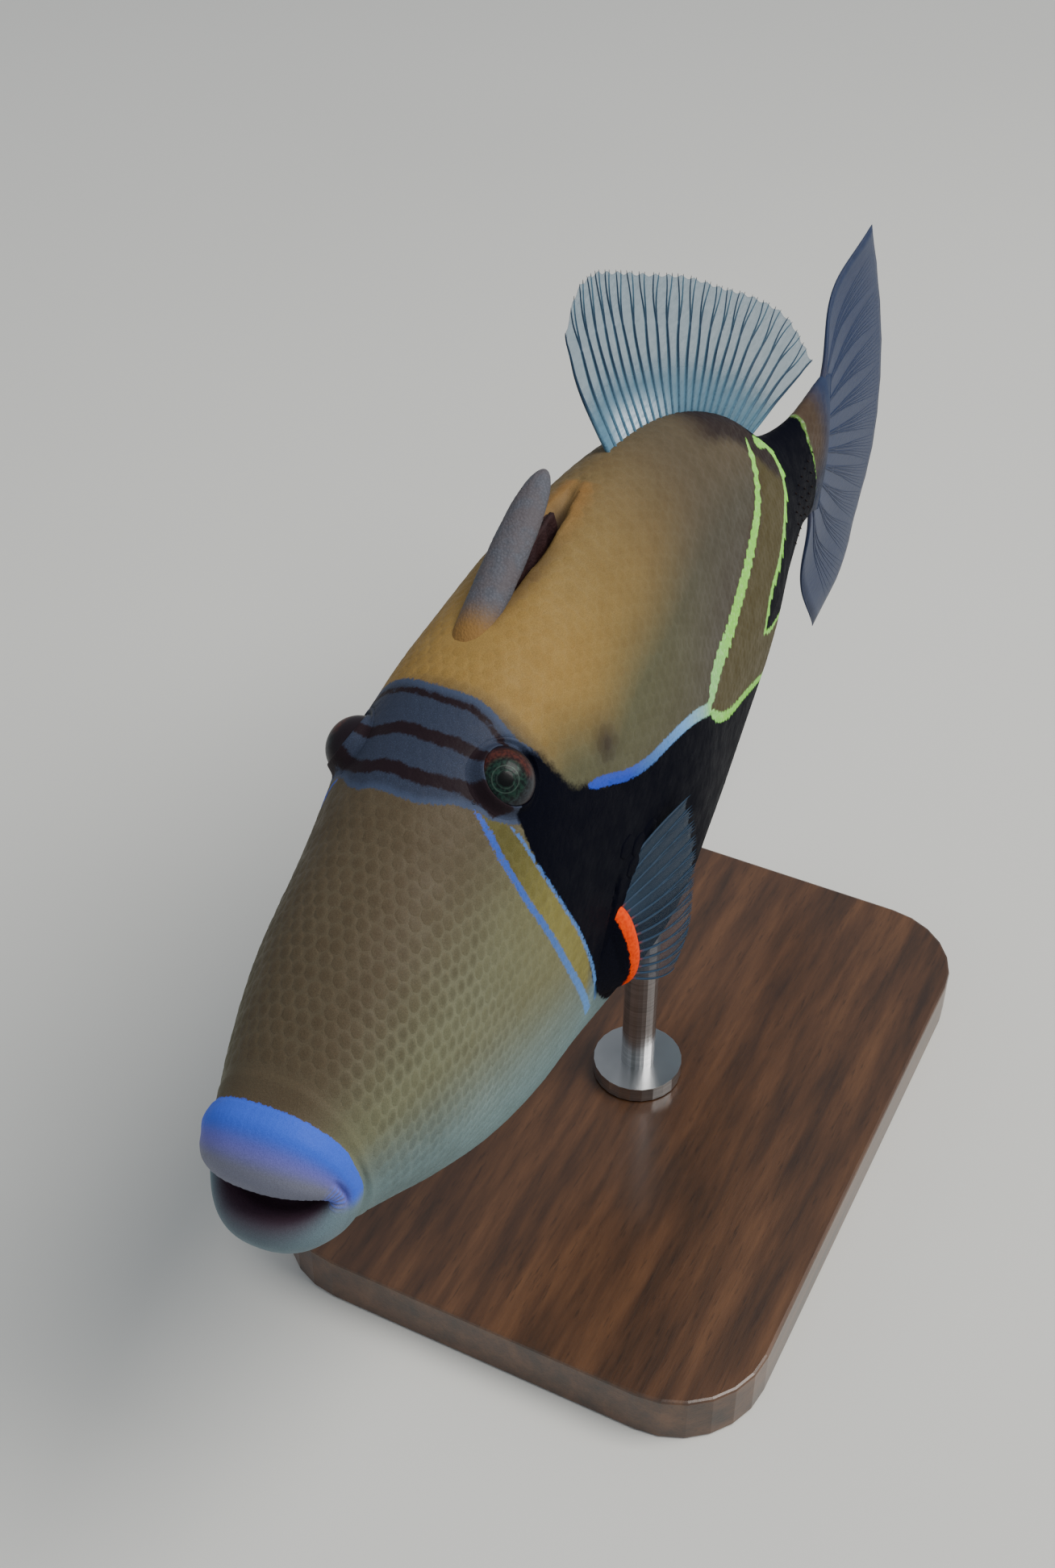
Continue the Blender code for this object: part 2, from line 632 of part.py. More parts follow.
def ray_fin(name, rays, rows, place, colour, ray=RAY_THICK, web=WEB_THICK, web_reach=WEB_REACH,
            root_thick=None):
    """Fin of one sheet, its rays raised in the sheet's own surface.

    place(t, r) gives the middle of the sheet: t runs along the root, r from root to tip.
    """
    columns = 2 * rays - 1
    points = []
    thickness = []
    for column in range(columns):
        is_ray = column % 2 == 0
        reach = 1.0 if is_ray else web_reach
        for row in range(rows + 1):
            r = reach * row / rows
            points.append(place(column / (columns - 1), r))
            thick = (ray if is_ray else web) * (1 - 0.35 * r)
            if root_thick:
                thick += (root_thick - ray) * max(1 - r / 0.12, 0.0) ** 2
            thickness.append(max(thick, 0.5))
    faces = []
    for column in range(columns - 1):
        for row in range(rows):
            a = column * (rows + 1) + row
            b = a + rows + 1
            if column % 2 == 0:
                faces += [(a, b, b + 1), (a, b + 1, a + 1)]
            else:
                faces += [(a, b, a + 1), (b, b + 1, a + 1)]
    sheet = new_object(name, mesh_from(name, points, faces))
    full = max(thickness)
    group = sheet.vertex_groups.new(name="thickness")
    for index, value in enumerate(thickness):
        group.add([index], value / full, "REPLACE")
    solid = sheet.modifiers.new("thickness", "SOLIDIFY")
    solid.thickness = full * MM
    solid.offset = 0.0
    solid.vertex_group = "thickness"
    solid.thickness_vertex_group = 0.0
    finished_mesh(sheet)
    return finish(sheet, colour, 0.35)


def unpaired_place(root_x, edge, sign, tip_at, tip_x, tip_y, tip_z):
    """Sheet of a fin on the back or belly, with a wave running along it."""
    def place(t, r):
        x = root_x[0] + (root_x[1] - root_x[0]) * t
        root = Vector((x, 0.0, edge(x) + sign * GAP))
        tip = Vector((spline(tip_at, tip_x, t), 0.0, spline(tip_at, tip_z, t)))
        point = root.lerp(tip, r)
        side = spline(tip_at, tip_y, t) * (1.8 * r - 0.8 * r * r)
        bow = 0.05 * (tip - root).length * math.sin(math.pi * r)
        return point + Vector((-bow * 0.4, side, sign * bow))
    return place


def make_dorsal_fin():
    place = unpaired_place(DORSAL_ROOT_X, back_z, 1, DORSAL_TIP_AT, DORSAL_TIP_X, DORSAL_TIP_Y,
                           DORSAL_TIP_Z)
    ray_fin("dorsal_fin", DORSAL_RAYS, 7, place, (0.25, 0.32, 0.38))


def make_anal_fin():
    place = unpaired_place(ANAL_ROOT_X, belly_z, -1, ANAL_TIP_AT, ANAL_TIP_X, ANAL_TIP_Y, ANAL_TIP_Z)
    ray_fin("anal_fin", ANAL_RAYS, 6, place, (0.25, 0.32, 0.38))


def caudal_place(t, r):
    """Tail fin, fanned from the dropped tail's end, its outer rays bowed outwards."""
    back = Vector((math.cos(TAIL_DROP), 0.0, -math.sin(TAIL_DROP)))
    up = Vector((math.sin(TAIL_DROP), 0.0, math.cos(TAIL_DROP)))
    across = 1 - 2 * t
    root = Vector((BODY_END, 0.0, 0.0)) + back * 1.5 * GAP + up * CAUDAL_HALF_ROOT * across
    tip = Vector((spline(CAUDAL_TIP_AT, CAUDAL_TIP_X, t), 0.0, spline(CAUDAL_TIP_AT, CAUDAL_TIP_Z, t)))
    bow = CAUDAL_BOW * across * abs(across) * math.sin(math.pi * r)
    side = spline(CAUDAL_TIP_AT, CAUDAL_TIP_Y, t) * r * r
    side += CAUDAL_SIDE_BOW * across * across * math.sin(math.pi * r) ** 2
    along = (tip - root).normalized()
    return root.lerp(tip, r) + Vector((-along.z, 0.0, along.x)) * bow + Vector((0.0, side, 0.0))


def make_caudal_fin():
    ray_fin("caudal_fin", 2 * CAUDAL_RAYS, 7, caudal_place, (0.16, 0.22, 0.33), web_reach=0.97,
            root_thick=2.4)


def pectoral_place(side):
    """Fan of a pectoral fin, from its fleshy base outwards and back."""
    def place(t, r):
        top = Vector(PECTORAL_ROOT_TOP)
        bottom = Vector(PECTORAL_ROOT_BOTTOM)
        middle = (top + bottom) / 2
        root = middle + (top.lerp(bottom, t) - middle) * 0.72 + Vector((1.0, -0.6, 0.0))
        tip = Vector((spline(PECTORAL_TIP_AT, PECTORAL_TIP_X, t),
                      spline(PECTORAL_TIP_AT, PECTORAL_TIP_Y, t),
                      spline(PECTORAL_TIP_AT, PECTORAL_TIP_Z, t)))
        bend = root.lerp(tip, 0.5) + Vector((0.0, -1.6, -1.0))
        point = root * (1 - r) ** 2 + bend * 2 * r * (1 - r) + tip * r * r
        return Vector((point.x, -side * point.y, point.z))
    return place


def make_pectoral_fins():
    for name, side in (("pectoral_fin_left", -1), ("pectoral_fin_right", 1)):
        fin = ray_fin(name, PECTORAL_RAYS, 6, pectoral_place(side), (0.20, 0.27, 0.34))
        combine(fin, [loft("pad", pad_rings(side))], "UNION")
        finish(fin, (0.20, 0.27, 0.34), 0.35)


# Stand

def fish_matrix():
    """Place of the fish in the world: the belly point stands over the rod."""
    turn = Euler((BANK, PITCH, 0.0)).to_matrix().to_4x4()
    belly = Vector((BELLY_POINT_X, 0.0, belly_z(BELLY_POINT_X))) * MM
    target = Vector((0.0, 0.0, BELLY_HEIGHT * MM))
    return Matrix.Translation(target - turn @ belly) @ turn


def stand_cylinder(name, radius, low, high, sides):
    mesh = bpy.data.meshes.new(name)
    body = bmesh.new()
    bmesh.ops.create_cone(body, cap_ends=True, segments=sides, radius1=radius * MM,
                          radius2=radius * MM, depth=(high - low) * MM,
                          matrix=Matrix.Translation((0, 0, (low + high) / 2 * MM)))
    body.to_mesh(mesh)
    body.free()
    return new_object(name, mesh)


def make_stand():
    length, width, height = BASE_SIZE
    outline = bpy.data.curves.new("stand_base", "CURVE")
    outline.dimensions = "2D"
    outline.fill_mode = "BOTH"
    path = outline.splines.new("POLY")
    corners = []
    for quarter in range(4):
        cx = (length / 2 - BASE_CORNER) * (1 if quarter in (0, 3) else -1)
        cy = (width / 2 - BASE_CORNER) * (1 if quarter in (0, 1) else -1)
        for step in range(7):
            angle = math.pi / 2 * (quarter + step / 6)
            corners.append((cx + BASE_CORNER * math.cos(angle), cy + BASE_CORNER * math.sin(angle)))
    path.points.add(len(corners) - 1)
    for point, (x, y) in zip(path.points, corners):
        point.co = (x * MM, y * MM, 0.0, 1.0)
    path.use_cyclic_u = True
    outline.extrude = height / 2 * MM
    drawn = new_object("base_outline", outline)
    graph = bpy.context.evaluated_depsgraph_get()
    mesh = bpy.data.meshes.new_from_object(drawn.evaluated_get(graph))
    bpy.data.objects.remove(drawn)
    body = bmesh.new()
    body.from_mesh(mesh)
    bmesh.ops.remove_doubles(body, verts=body.verts, dist=0.01 * MM)
    bmesh.ops.translate(body, verts=body.verts, vec=(0, 0, height / 2 * MM))
    bmesh.ops.recalc_face_normals(body, faces=body.faces)
    body.to_mesh(mesh)
    body.free()
    base = new_object("stand_base", mesh)
    bevel = base.modifiers.new("edge", "BEVEL")
    bevel.width = BASE_EDGE * MM
    bevel.segments = 2
    bevel.limit_method = "ANGLE"
    finish(base, (0.06, 0.035, 0.02), 0.35)
    collar_low = height + GAP
    rod = stand_cylinder("stand_rod", ROD_RADIUS, collar_low + 0.5,
                         BELLY_HEIGHT + ROD_SOCKET_DEPTH, 24)
    collar = stand_cylinder("collar", COLLAR_RADIUS, collar_low, collar_low + COLLAR_HEIGHT, 24)
    combine(rod, [collar], "UNION")
    finish(rod, (0.62, 0.63, 0.65), 0.25, 1.0)
    return base, rod


def main():
    for thing in list(bpy.data.objects):
        bpy.data.objects.remove(thing)
    for name in ("fish", "stand"):
        bpy.context.scene.collection.children.link(bpy.data.collections.new(name))
    make_head()
    make_trunk()
    make_peduncle()
    make_lips()
    make_eyes()
    make_spines()
    make_pelvic_knob()
    make_dorsal_fin()
    make_anal_fin()
    make_caudal_fin()
    make_pectoral_fins()
    pose = bpy.data.objects.new("fish_pose", None)
    bpy.data.collections["fish"].objects.link(pose)
    pose.matrix_world = fish_matrix()
    for thing in bpy.data.collections["fish"].objects:
        if thing.type == "MESH":
            thing.parent = pose
    for thing in make_stand():
        bpy.data.collections["fish"].objects.unlink(thing)
        bpy.data.collections["stand"].objects.link(thing)


if __name__ == "__main__":
    main()
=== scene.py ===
"""Reef triggerfish on its stand: skin, plates, eyes, spines, fins and studio stage.

The fish is drawn in its own frame, in millimetres: x runs from the snout to the tail, the left side
is at -y and z is up. Points go to the world through fish_to_world, in metres.
"""

import math
from functools import cache

import bpy
import numpy as np
from mathutils import Euler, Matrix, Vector


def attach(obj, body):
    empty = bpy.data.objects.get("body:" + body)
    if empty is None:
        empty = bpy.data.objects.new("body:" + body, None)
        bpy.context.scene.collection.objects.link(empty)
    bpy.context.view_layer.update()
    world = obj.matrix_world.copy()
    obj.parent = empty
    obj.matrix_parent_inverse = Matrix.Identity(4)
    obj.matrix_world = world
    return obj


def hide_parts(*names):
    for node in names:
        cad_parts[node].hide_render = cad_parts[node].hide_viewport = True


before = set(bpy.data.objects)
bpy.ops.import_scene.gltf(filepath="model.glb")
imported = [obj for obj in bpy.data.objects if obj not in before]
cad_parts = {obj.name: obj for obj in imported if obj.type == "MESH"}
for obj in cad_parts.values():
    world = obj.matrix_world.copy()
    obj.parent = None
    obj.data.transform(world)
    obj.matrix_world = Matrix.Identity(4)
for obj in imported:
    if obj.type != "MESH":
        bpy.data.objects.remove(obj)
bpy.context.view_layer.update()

bl_info = {
    "name": "Reef Triggerfish",
    "version": (1, 0, 0),
    "blender": (4, 5, 0),
    "location": "3D View > Sidebar > Triggerfish",
    "description": "Builds a life-size reef triggerfish on a display stand, piece by piece",
    "category": "Add Mesh",
}

MM = 0.001
SEED = 7

# Pose of the fish over the stand
BANK = math.radians(-7.0)
PITCH = math.radians(-3.0)
BELLY_HEIGHT = 49.0
BELLY_POINT_X = 103.0

# Lines of the body: one column for each station along it
STATION_X = (-4, 4, 12, 22, 36, 50, 62, 75, 92, 112, 130, 148, 163, 176, 190)
BACK_Z = (8.5, 13, 18.4, 24.8, 31.5, 37.5, 41, 43, 45, 44.5, 39.5, 29.5, 17, 11.8, 12)
BELLY_Z = (-5, -8.2, -12, -18.5, -27.5, -33.5, -36, -39, -42.5, -41, -34, -25, -16, -11.2, -12)
HALF_WIDTH = (7.2, 9.6, 12.6, 15.2, 16.4, 17.4, 17.6, 18, 18.5, 15.5, 12.8, 9.8, 6.4, 4, 2.6)
WIDEST_Z = (2, 2, 2, 3, 6.5, 9.5, 10, 8, 5, 3, 2, 1, 1, 0, 0)
BACK_ROUND = (2.2, 2.2, 2.3, 2.3, 2.2, 2.2, 2.3, 2.2, 2, 1.9, 1.8, 1.8, 1.9, 2, 2)
BELLY_ROUND = (2.2, 2.2, 2.1, 2, 1.95, 1.85, 1.8, 1.75, 1.7, 1.6, 1.6, 1.7, 1.8, 2, 2)
SNOUT_SWING = 1.2
SNOUT_SWING_END = 36.0
BODY_END = 189.0
TAIL_DROP = math.radians(22.0)
TAIL_DROP_START = 163.0

# Rings of the mouth, from the cheek over the blue fold and the lips into the throat.
# Each gives x and z above, then x, y and z at the corner, then x and z below.
MOUTH_START = 8.5
MOUTH_SUPPORT = 12.0
MOUTH_RINGS = (
    ((5.6, 14.0), (7.6, 10.6, 2.6), (5.4, -8.7)),
    ((4.6, 13.8), (6.8, 10.9, 2.4), (4.0, -8.4)),
    ((2.8, 13.3), (5.4, 10.9, 2.2), (2.2, -7.9)),
    ((1.2, 11.9), (4.6, 10.5, 2.0), (0.4, -7.3)),
    ((-0.6, 9.9), (3.8, 10.1, 1.9), (-1.4, -6.2)),
    ((-1.5, 7.4), (3.2, 9.5, 1.8), (-2.6, -4.4)),
    ((-1.1, 5.0), (3.2, 8.7, 1.7), (-2.8, -2.5)),
    ((0.3, 3.7), (3.9, 8.0, 1.6), (-1.8, -0.9)),
    ((2.4, 3.8), (5.0, 7.3, 1.6), (0.4, -0.7)),
    ((5.4, 4.6), (6.8, 6.2, 1.5), (3.6, -1.5)),
    ((9.6, 3.4), (9.4, 3.4, 1.4), (8.6, -0.4)),
)
MOUTH_THROAT = (10.6, 1.0, 1.4)

# Eyes
EYE_X = 51.5
EYE_Y = 10.4
EYE_Z = 31.0
EYE_BALL = 4.5
EYE_OUT = 0.4
EYE_TILT = math.radians(38.0)
ORBIT_HEIGHT = 1.0
ORBIT_SPREAD = 7.0
GAZE_FORWARD = {-1: math.radians(33.0), 1: math.radians(-8.0)}
GAZE_UP = {-1: math.radians(9.0), 1: math.radians(-28.0)}
ORBIT_EDGE = (4.3, 5.2)
ORBIT_FLOOR = 0.4
LID_PROFILE = ((3.75, 1.6), (3.95, 2.1), (4.08, 2.38), (4.22, 2.42), (4.38, 2.25), (4.65, 1.85),
               (5.1, 1.4), (5.7, 1.0))
LID_BLEND = (4.35, 5.2)
LID_SINK = (5.2, 5.7)
LID_THICKNESS = 0.9
NOSTRILS = ((46.4, 30.4), (46.0, 31.9))
NOSTRIL_PROFILE = ((0.42, -0.5), (0.38, 0.0), (0.31, 0.05), (0.23, 0.02), (0.15, -0.2), (0.05, -0.25))

# Gill slit, and the bony scutes behind it
GILL_TOP = (66.5, 3.0)
GILL_BOTTOM = (61.9, -8.5)
GILL_DEPTH = 0.8
GILL_WIDTH = 0.6
SCUTES = ((69.5, 6.5), (72.8, 4.2), (71.0, 1.6), (74.8, 0.4), (72.6, -2.0), (76.2, 4.0))
SCUTE_RADIUS = 1.9
SCUTE_PROFILE = ((1.05, -0.6), (1.0, -0.14), (0.9, -0.05), (0.7, -0.01), (0.35, 0.02), (0.05, 0.02))

# Rows of hooked spinules on each side of the tail root
SPINULE_ROWS = (-4.6, -1.5, 1.6, 4.7)
SPINULES_IN_ROW = 6
SPINULE_START = 164.5
SPINULE_STEP = 2.5
SPINULE_LENGTH = 0.75

# Groove of the first dorsal fin, its spines and their web
GROOVE_START = 68.5
GROOVE_END = 102.0
GROOVE_DEPTH = 3.8
GROOVE_HALF_WIDTH = 3.9
FIRST_SPINE = {"root": (67.5, 0.7, 40.4), "tip": (92.8, 0.7, 51.4), "wide": 2.95, "deep": 2.3}
SECOND_SPINE = {"root": (82.0, 2.0, 39.4), "tip": (94.0, 2.0, 44.0), "wide": 1.1, "deep": 1.0}
SPINE_WEB_X = (73.0, 91.0)
SPINE_WEB_Y = -0.4

# Scaly ridge along the rear root of the dorsal fin
SHEATH_START = (128.0, 138.0)
SHEATH_END = (156.0, 161.0)
SHEATH_RISE = 0.85

# Fins: places of roots and tips along the body
GAP = 0.3
DORSAL_RAYS = 24
DORSAL_ROOT_X = (109.5, 161.0)
DORSAL_TIPS = {
    "at": (0.0, 0.05, 0.14, 0.25, 0.36, 0.5, 0.62, 0.74, 0.85, 1.0),
    "x": (110.8, 114.6, 119.5, 125.3, 132.0, 142.0, 151.6, 162.0, 173.5, 183.5),
    "y": (5.0, 5.0, 4.5, 3.7, 2.0, 0.0, -1.2, -2.0, -2.5, -3.0),
    "z": (63.0, 66.8, 68.2, 66.0, 62.6, 57.5, 51.1, 44.4, 35.4, 21.3)}
ANAL_RAYS = 21
ANAL_ROOT_X = (122.0, 160.0)
ANAL_TIPS = {
    "at": (0.0, 0.06, 0.14, 0.35, 0.6, 0.8, 1.0),
    "x": (124.0, 127.5, 132.0, 143.0, 158.0, 170.0, 181.0),
    "y": (12.0, 13.5, 14.0, 13.0, 11.0, 9.0, 7.5),
    "z": (-52.5, -56.0, -56.0, -51.0, -43.0, -34.5, -24.5)}
CAUDAL_RAYS = 12
CAUDAL_HALF_ROOT = 12.2
CAUDAL_TIPS = {
    "at": (0.0, 0.1, 0.25, 0.5, 0.75, 0.9, 1.0),
    "x": (222.0, 226.0, 226.6, 221.0, 212.4, 203.7, 193.4),
    "y": (-0.2, 0.5, 0.1, -0.1, 1.5, 2.3, 4.2),
    "z": (28.8, 18.5, 4.6, -14.8, -29.7, -39.0, -45.0)}
CAUDAL_FORKS = (0.05, 0.16, 0.34)
CAUDAL_BOW = 3.0
CAUDAL_SIDE_BOW = 2.0
PECTORAL_RAYS = 14
PECTORAL_ROOT_TOP = (67.8, -17.4, -4.6)
PECTORAL_ROOT_BOTTOM = (65.4, -15.7, -18.6)
PECTORAL_LOBE = (3.6, 7.8)
PECTORAL_SHIFT = (-2.1, -1.3)
PECTORAL_REAR = (0.55, -0.83, 0.0)
PECTORAL_LEAN = 0.28
PECTORAL_FAN = (-86.0, 74.0)
PECTORAL_TIPS = {
    "at": (0.0, 0.25, 0.5, 0.75, 1.0),
    "x": (85.0, 85.0, 82.2, 79.4, 74.6),
    "y": (-20.4, -20.5, -20.7, -20.7, -20.0),
    "z": (4.4, -4.9, -11.4, -17.1, -21.4)}
PELVIC_X = (83.0, 96.0)

# Markings on the side, as places along x and up z
BLACK_FRONT = ((49.0, 29.0), (48.4, 21.2), (50.2, 14.2), (54.7, 2.7), (61.5, -15.3), (68.0, -25.0),
               (77.0, -34.0), (90.0, -44.0))
BLACK_TOP = ((52.0, 33.0), (56.9, 32.6), (58.5, 28.5), (60.8, 24.2), (63.1, 23.0), (67.0, 20.0))
BLUE_EDGE = ((63.5, 22.3), (67.0, 20.5), (72.9, 17.1), (78.4, 15.1), (84.6, 14.1), (89.9, 13.0),
             (96.1, 10.6), (99.7, 8.5))
LINE_RISING = ((99.7, 8.5), (106.0, 10.6), (114.5, 11.2), (122.2, 12.5), (130.0, 14.0), (136.6, 15.7),
               (141.2, 17.3), (145.6, 20.5), (148.5, 24.1), (150.0, 28.0))
LINE_LOWER = ((99.7, 8.5), (102.0, 5.6), (110.6, -0.8), (121.8, -5.8), (138.7, -15.4), (152.0, -26.0))
WEDGE_TOP = ((150.5, 27.0), (153.8, 21.6), (160.3, 16.6), (161.0, 14.1), (160.1, 10.1), (154.0, 6.1),
             (146.2, 3.2), (138.5, 1.6), (134.6, -2.5))
WEDGE_BOTTOM = ((134.6, -2.5), (138.0, -4.8), (146.0, -8.0), (155.0, -13.0), (163.0, -19.0))
WEDGE_REAR = ((178.0, 15.0), (179.8, 11.6), (179.1, 7.6), (180.0, 3.0), (181.4, -3.0), (182.0, -14.0))
CHEEK_FRONT = ((45.2, 31.0), (44.0, 25.6), (44.4, 18.9), (46.8, 10.6), (49.8, 2.5), (57.7, -14.0),
               (60.5, -19.5))
CHEEK_REAR = ((47.5, 27.5), (48.4, 21.2), (50.2, 14.2), (54.7, 2.7), (61.0, -14.0), (62.6, -19.0))
BAND_BACK = 57.6
BAND_FRONT = (42.0, 46.0)
BAND_WIDER_RIGHT = 3.0
BAND_STRIPES = ((55.9, 0.45), (50.6, 0.85), (45.2, 0.85))
BESIDE_EYE = 5.8
SMUDGE = (70.2, 24.4)

# Coloured lines: half width at the start and end, length of one wave or tooth, and tone at the start
# and end, from blue, 0, to green, 1
FAR = 9.0
LINE_STEP = 1.2
TOOTH = 1.5
LINES = (
    (CHEEK_FRONT, (0.42, 0.75), 0.0, (0.1, 0.28)),
    (CHEEK_REAR, (0.26, 0.4), 0.0, (0.16, 0.26)),
    (BLUE_EDGE, (0.8, 1.0), 0.0, (0.0, 0.54)),
    (LINE_RISING, (2.1, 1.1), 2.1, (0.56, 0.82)),
    (LINE_LOWER, (0.85, 0.6), 2.1, (0.58, 0.8)),
    (WEDGE_TOP, (0.85, 0.7), 3.4, (0.8, 0.8)),
    (WEDGE_BOTTOM, (0.5, 0.4), 2.4, (0.78, 0.72)),
    (WEDGE_REAR, (0.95, -0.6), 2.6, (1.0, 0.72)),
)

GROUND_COLOURS = ("gold", "tan", "grey_brown", "olive", "rust", "snout", "cheek", "yellow", "throat",
                  "groove", "tail")

# Skin and plates
SKIN_NODES = ("head", "trunk", "caudal_peduncle", "upper_lip", "lower_lip")
SKIN_COLUMNS = 280
SKIN_ROWS = 226
MOUTH_STEPS = 8
SHEATH_ROWS = 8
SHEATH_LENGTH = 5.0
PLATE_SIDES = 12
PLATE_RINGS = (0.4, 0.7, 0.88, 1.0)
PLATE_SINK = 0.03
PLATE_LIMIT = 1.5
EYE_ROOM = 5.8
PECTORAL_ROOM = (3.4, 8.2)
GROOVE_ROOM = 1.0
SPINE_ROOM_X = (65, 71)
SPINE_ROOM_Y = 3.6
PATCH = 0.003
PLATES_PART = 75.0

# Camera in the world, in millimetres, and the direction that it looks in
CAMERA_AT = (-228.3, -93.2, 283.9)
CAMERA_AIM = (0.684, 0.3467, -0.6418)
CAMERA_LENS = 45.6

# Lights and floor in the world, in metres: both lights face LIT
LIT = (0.0, 0.0, 0.08)
KEY_LIGHT = {"size": 0.7, "place": (0.12, -0.62, 1.02), "colour": (1.0, 0.97, 0.92)}
FILL_LIGHT = {"size": 0.8, "place": (-0.9, 0.5, 0.6), "colour": (0.86, 0.93, 1.0)}
SKY_COLOUR = (0.88, 0.93, 1.0)
FLOOR_SIZE = 6.0
FLOOR_STEPS = 40

# Stretch of the grain in the stand's wood and of the brushing on its steel
WOOD_STRETCH = (18.0, 160.0, 160.0)
STEEL_STRETCH = (60.0, 60.0, 2400.0)


# Settings that the panel shows

def paint(red, green, blue):
    """Linear colour for a tint named by its usual 0 to 255 levels."""
    levels = np.array((red, green, blue)) / 255.0
    return tuple(np.where(levels <= 0.04045, levels / 12.92, ((levels + 0.055) / 1.055) ** 2.4))


def tint(name, description, red, green, blue):
    return bpy.props.FloatVectorProperty(name=name, description=description, subtype="COLOR", size=3,
                                         min=0.0, max=1.0, default=paint(red, green, blue))


class TriggerfishBody(bpy.types.PropertyGroup):
    """Sizes of the skin and its plates."""
    skin_inset: bpy.props.FloatProperty(
        name="Skin Inset", description="Depth of the skin under the plates' tops",
        default=0.16 * MM, min=0.0, max=2 * MM, subtype="DISTANCE", unit="LENGTH", precision=5)
    plate_spacing: bpy.props.FloatProperty(
        name="Plate Spacing", description="Distance between the middles of neighbouring plates",
        default=2.05 * MM, min=1 * MM, max=8 * MM, subtype="DISTANCE", unit="LENGTH", precision=5)
    plate_height: bpy.props.FloatProperty(
        name="Plate Height", description="Rise of a plate's middle above the skin, on the snout",
        default=0.1 * MM, min=0.0, max=1 * MM, subtype="DISTANCE", unit="LENGTH", precision=5)
    web_thickness: bpy.props.FloatProperty(
        name="Web Thickness", description="Thickness of the clear web between fin rays",
        default=0.12 * MM, min=0.05 * MM, max=1 * MM, subtype="DISTANCE", unit="LENGTH", precision=5)


class TriggerfishColours(bpy.types.PropertyGroup):
    """Colours of the fish."""
    gold: tint("Gold", "Nape and upper back", 138, 111, 60)
    tan: tint("Tan", "Upper flank", 86, 85, 62)
    grey_brown: tint("Grey Brown", "Rear and lower flank", 68, 63, 54)
    olive: tint("Olive", "Field between the gold lines of the tail", 72, 64, 34)
    rust: tint("Rust", "Root of the tail fin", 68, 54, 42)
    snout: tint("Snout", "Top of the snout", 80, 70, 54)
    cheek: tint("Cheek", "Side of the snout and cheek", 102, 103, 80)
    yellow: tint("Yellow", "Stripe between the two blue lines of the cheek", 122, 116, 62)
    throat: tint("Throat", "Lower cheek, chin and breast", 112, 134, 136)
    black: tint("Black", "Band from the eye to the belly, and wedge on the tail", 6, 7, 16)
    band: tint("Eye Band", "Bands across the head between the eyes", 44, 50, 66)
    band_rim: tint("Eye Band Edge", "Paler edges of those bands", 58, 68, 90)
    stripe: tint("Eye Stripe", "Stripes within those bands", 28, 16, 22)
    line_blue: tint("Blue Line", "Front lines and the edge of the black band", 44, 70, 172)
    line_pale: tint("Pale Line", "Where blue turns to green", 136, 176, 172)
    line_green: tint("Green Line", "Lines on the rear of the flank", 134, 212, 80)
    fold: tint("Blue Fold", "Fold of skin over the upper lip", 56, 92, 206)
    lavender: tint("Lavender", "Upper part of the upper lip", 96, 96, 168)
    lip: tint("Lip", "Pale edge of the upper lip", 112, 114, 130)
    chin: tint("Lower Lip", "Lower lip and chin", 100, 118, 126)
    # Inside of the mouth: its own colour with painted shade of the opening
    mouth: tint("Mouth", "Inside of the mouth", 66, 48, 60)
    spine: tint("Spine", "First dorsal spine", 84, 86, 94)
    # Own dark red-brown of the groove and the spines' web; on the back's skin it also stands in for
    # painted shade in the trough and under the dorsal fin's scaly ridge
    groove: tint("Groove", "Groove and web of the spines", 46, 30, 32)
    orange: tint("Orange", "Band on the base of each pectoral fin", 238, 74, 2)
    ray: tint("Ray", "Rays of the soft fins", 30, 50, 70)
    web: tint("Web", "Clear web of the soft fins", 86, 124, 146)
    # Painted highlight: pale glow on the web at the front of the dorsal fin's root
    front_highlight: tint("Haze", "Pale skin over the rays at the front of the dorsal fin", 205, 222, 235)
    tail: tint("Tail", "Tail fin", 40, 54, 86)


class TriggerfishStage(bpy.types.PropertyGroup):
    """Floor, lights and camera."""
    floor: tint("Floor", "Colour of the floor", 214, 214, 210)
    key_power: bpy.props.FloatProperty(
        name="Key Light", description="Power of the large soft light", default=16.0, min=0.0,
        unit="POWER")
    fill_power: bpy.props.FloatProperty(
        name="Fill Light", description="Power of the light on the other side", default=0.8, min=0.0,
        unit="POWER")
    sky: bpy.props.FloatProperty(
        name="Sky", description="Strength of the light from all round", default=0.45, min=0.0)


# Curves and places

def curve(xs, ys, x):
    """Smooth curve through named points, with its slope taken from its neighbours."""
    xs = np.asarray(xs, float)
    ys = np.asarray(ys, float)
    x = np.clip(x, xs[0], xs[-1])
    gaps = np.diff(xs)
    steps = np.diff(ys) / gaps
    inner = (steps[1:] * gaps[:-1] + steps[:-1] * gaps[1:]) / (gaps[:-1] + gaps[1:])
    slopes = np.concatenate(([steps[0]], inner, [steps[-1]]))
    i = np.clip(np.searchsorted(xs, x, side="right") - 1, 0, len(xs) - 2)
    width = gaps[i]
    t = (x - xs[i]) / width
    return ((2 * t ** 3 - 3 * t ** 2 + 1) * ys[i] + (t ** 3 - 2 * t ** 2 + t) * width * slopes[i]
            + (3 * t ** 2 - 2 * t ** 3) * ys[i + 1] + (t ** 3 - t ** 2) * width * slopes[i + 1])


def smooth(value, low, high):
    """0 below low, 1 above high, eased between them."""
    share = np.clip((value - low) / (high - low), 0.0, 1.0)
    return share * share * (3 - 2 * share)


def along(*parts):
    """Points from separate x, y and z values, which may be plain numbers."""
    return np.stack(np.broadcast_arrays(*[np.asarray(part, float) for part in parts]), -1)


def unit(vectors):
    length = np.linalg.norm(vectors, axis=-1, keepdims=True)
    return vectors / np.maximum(length, 1e-9)


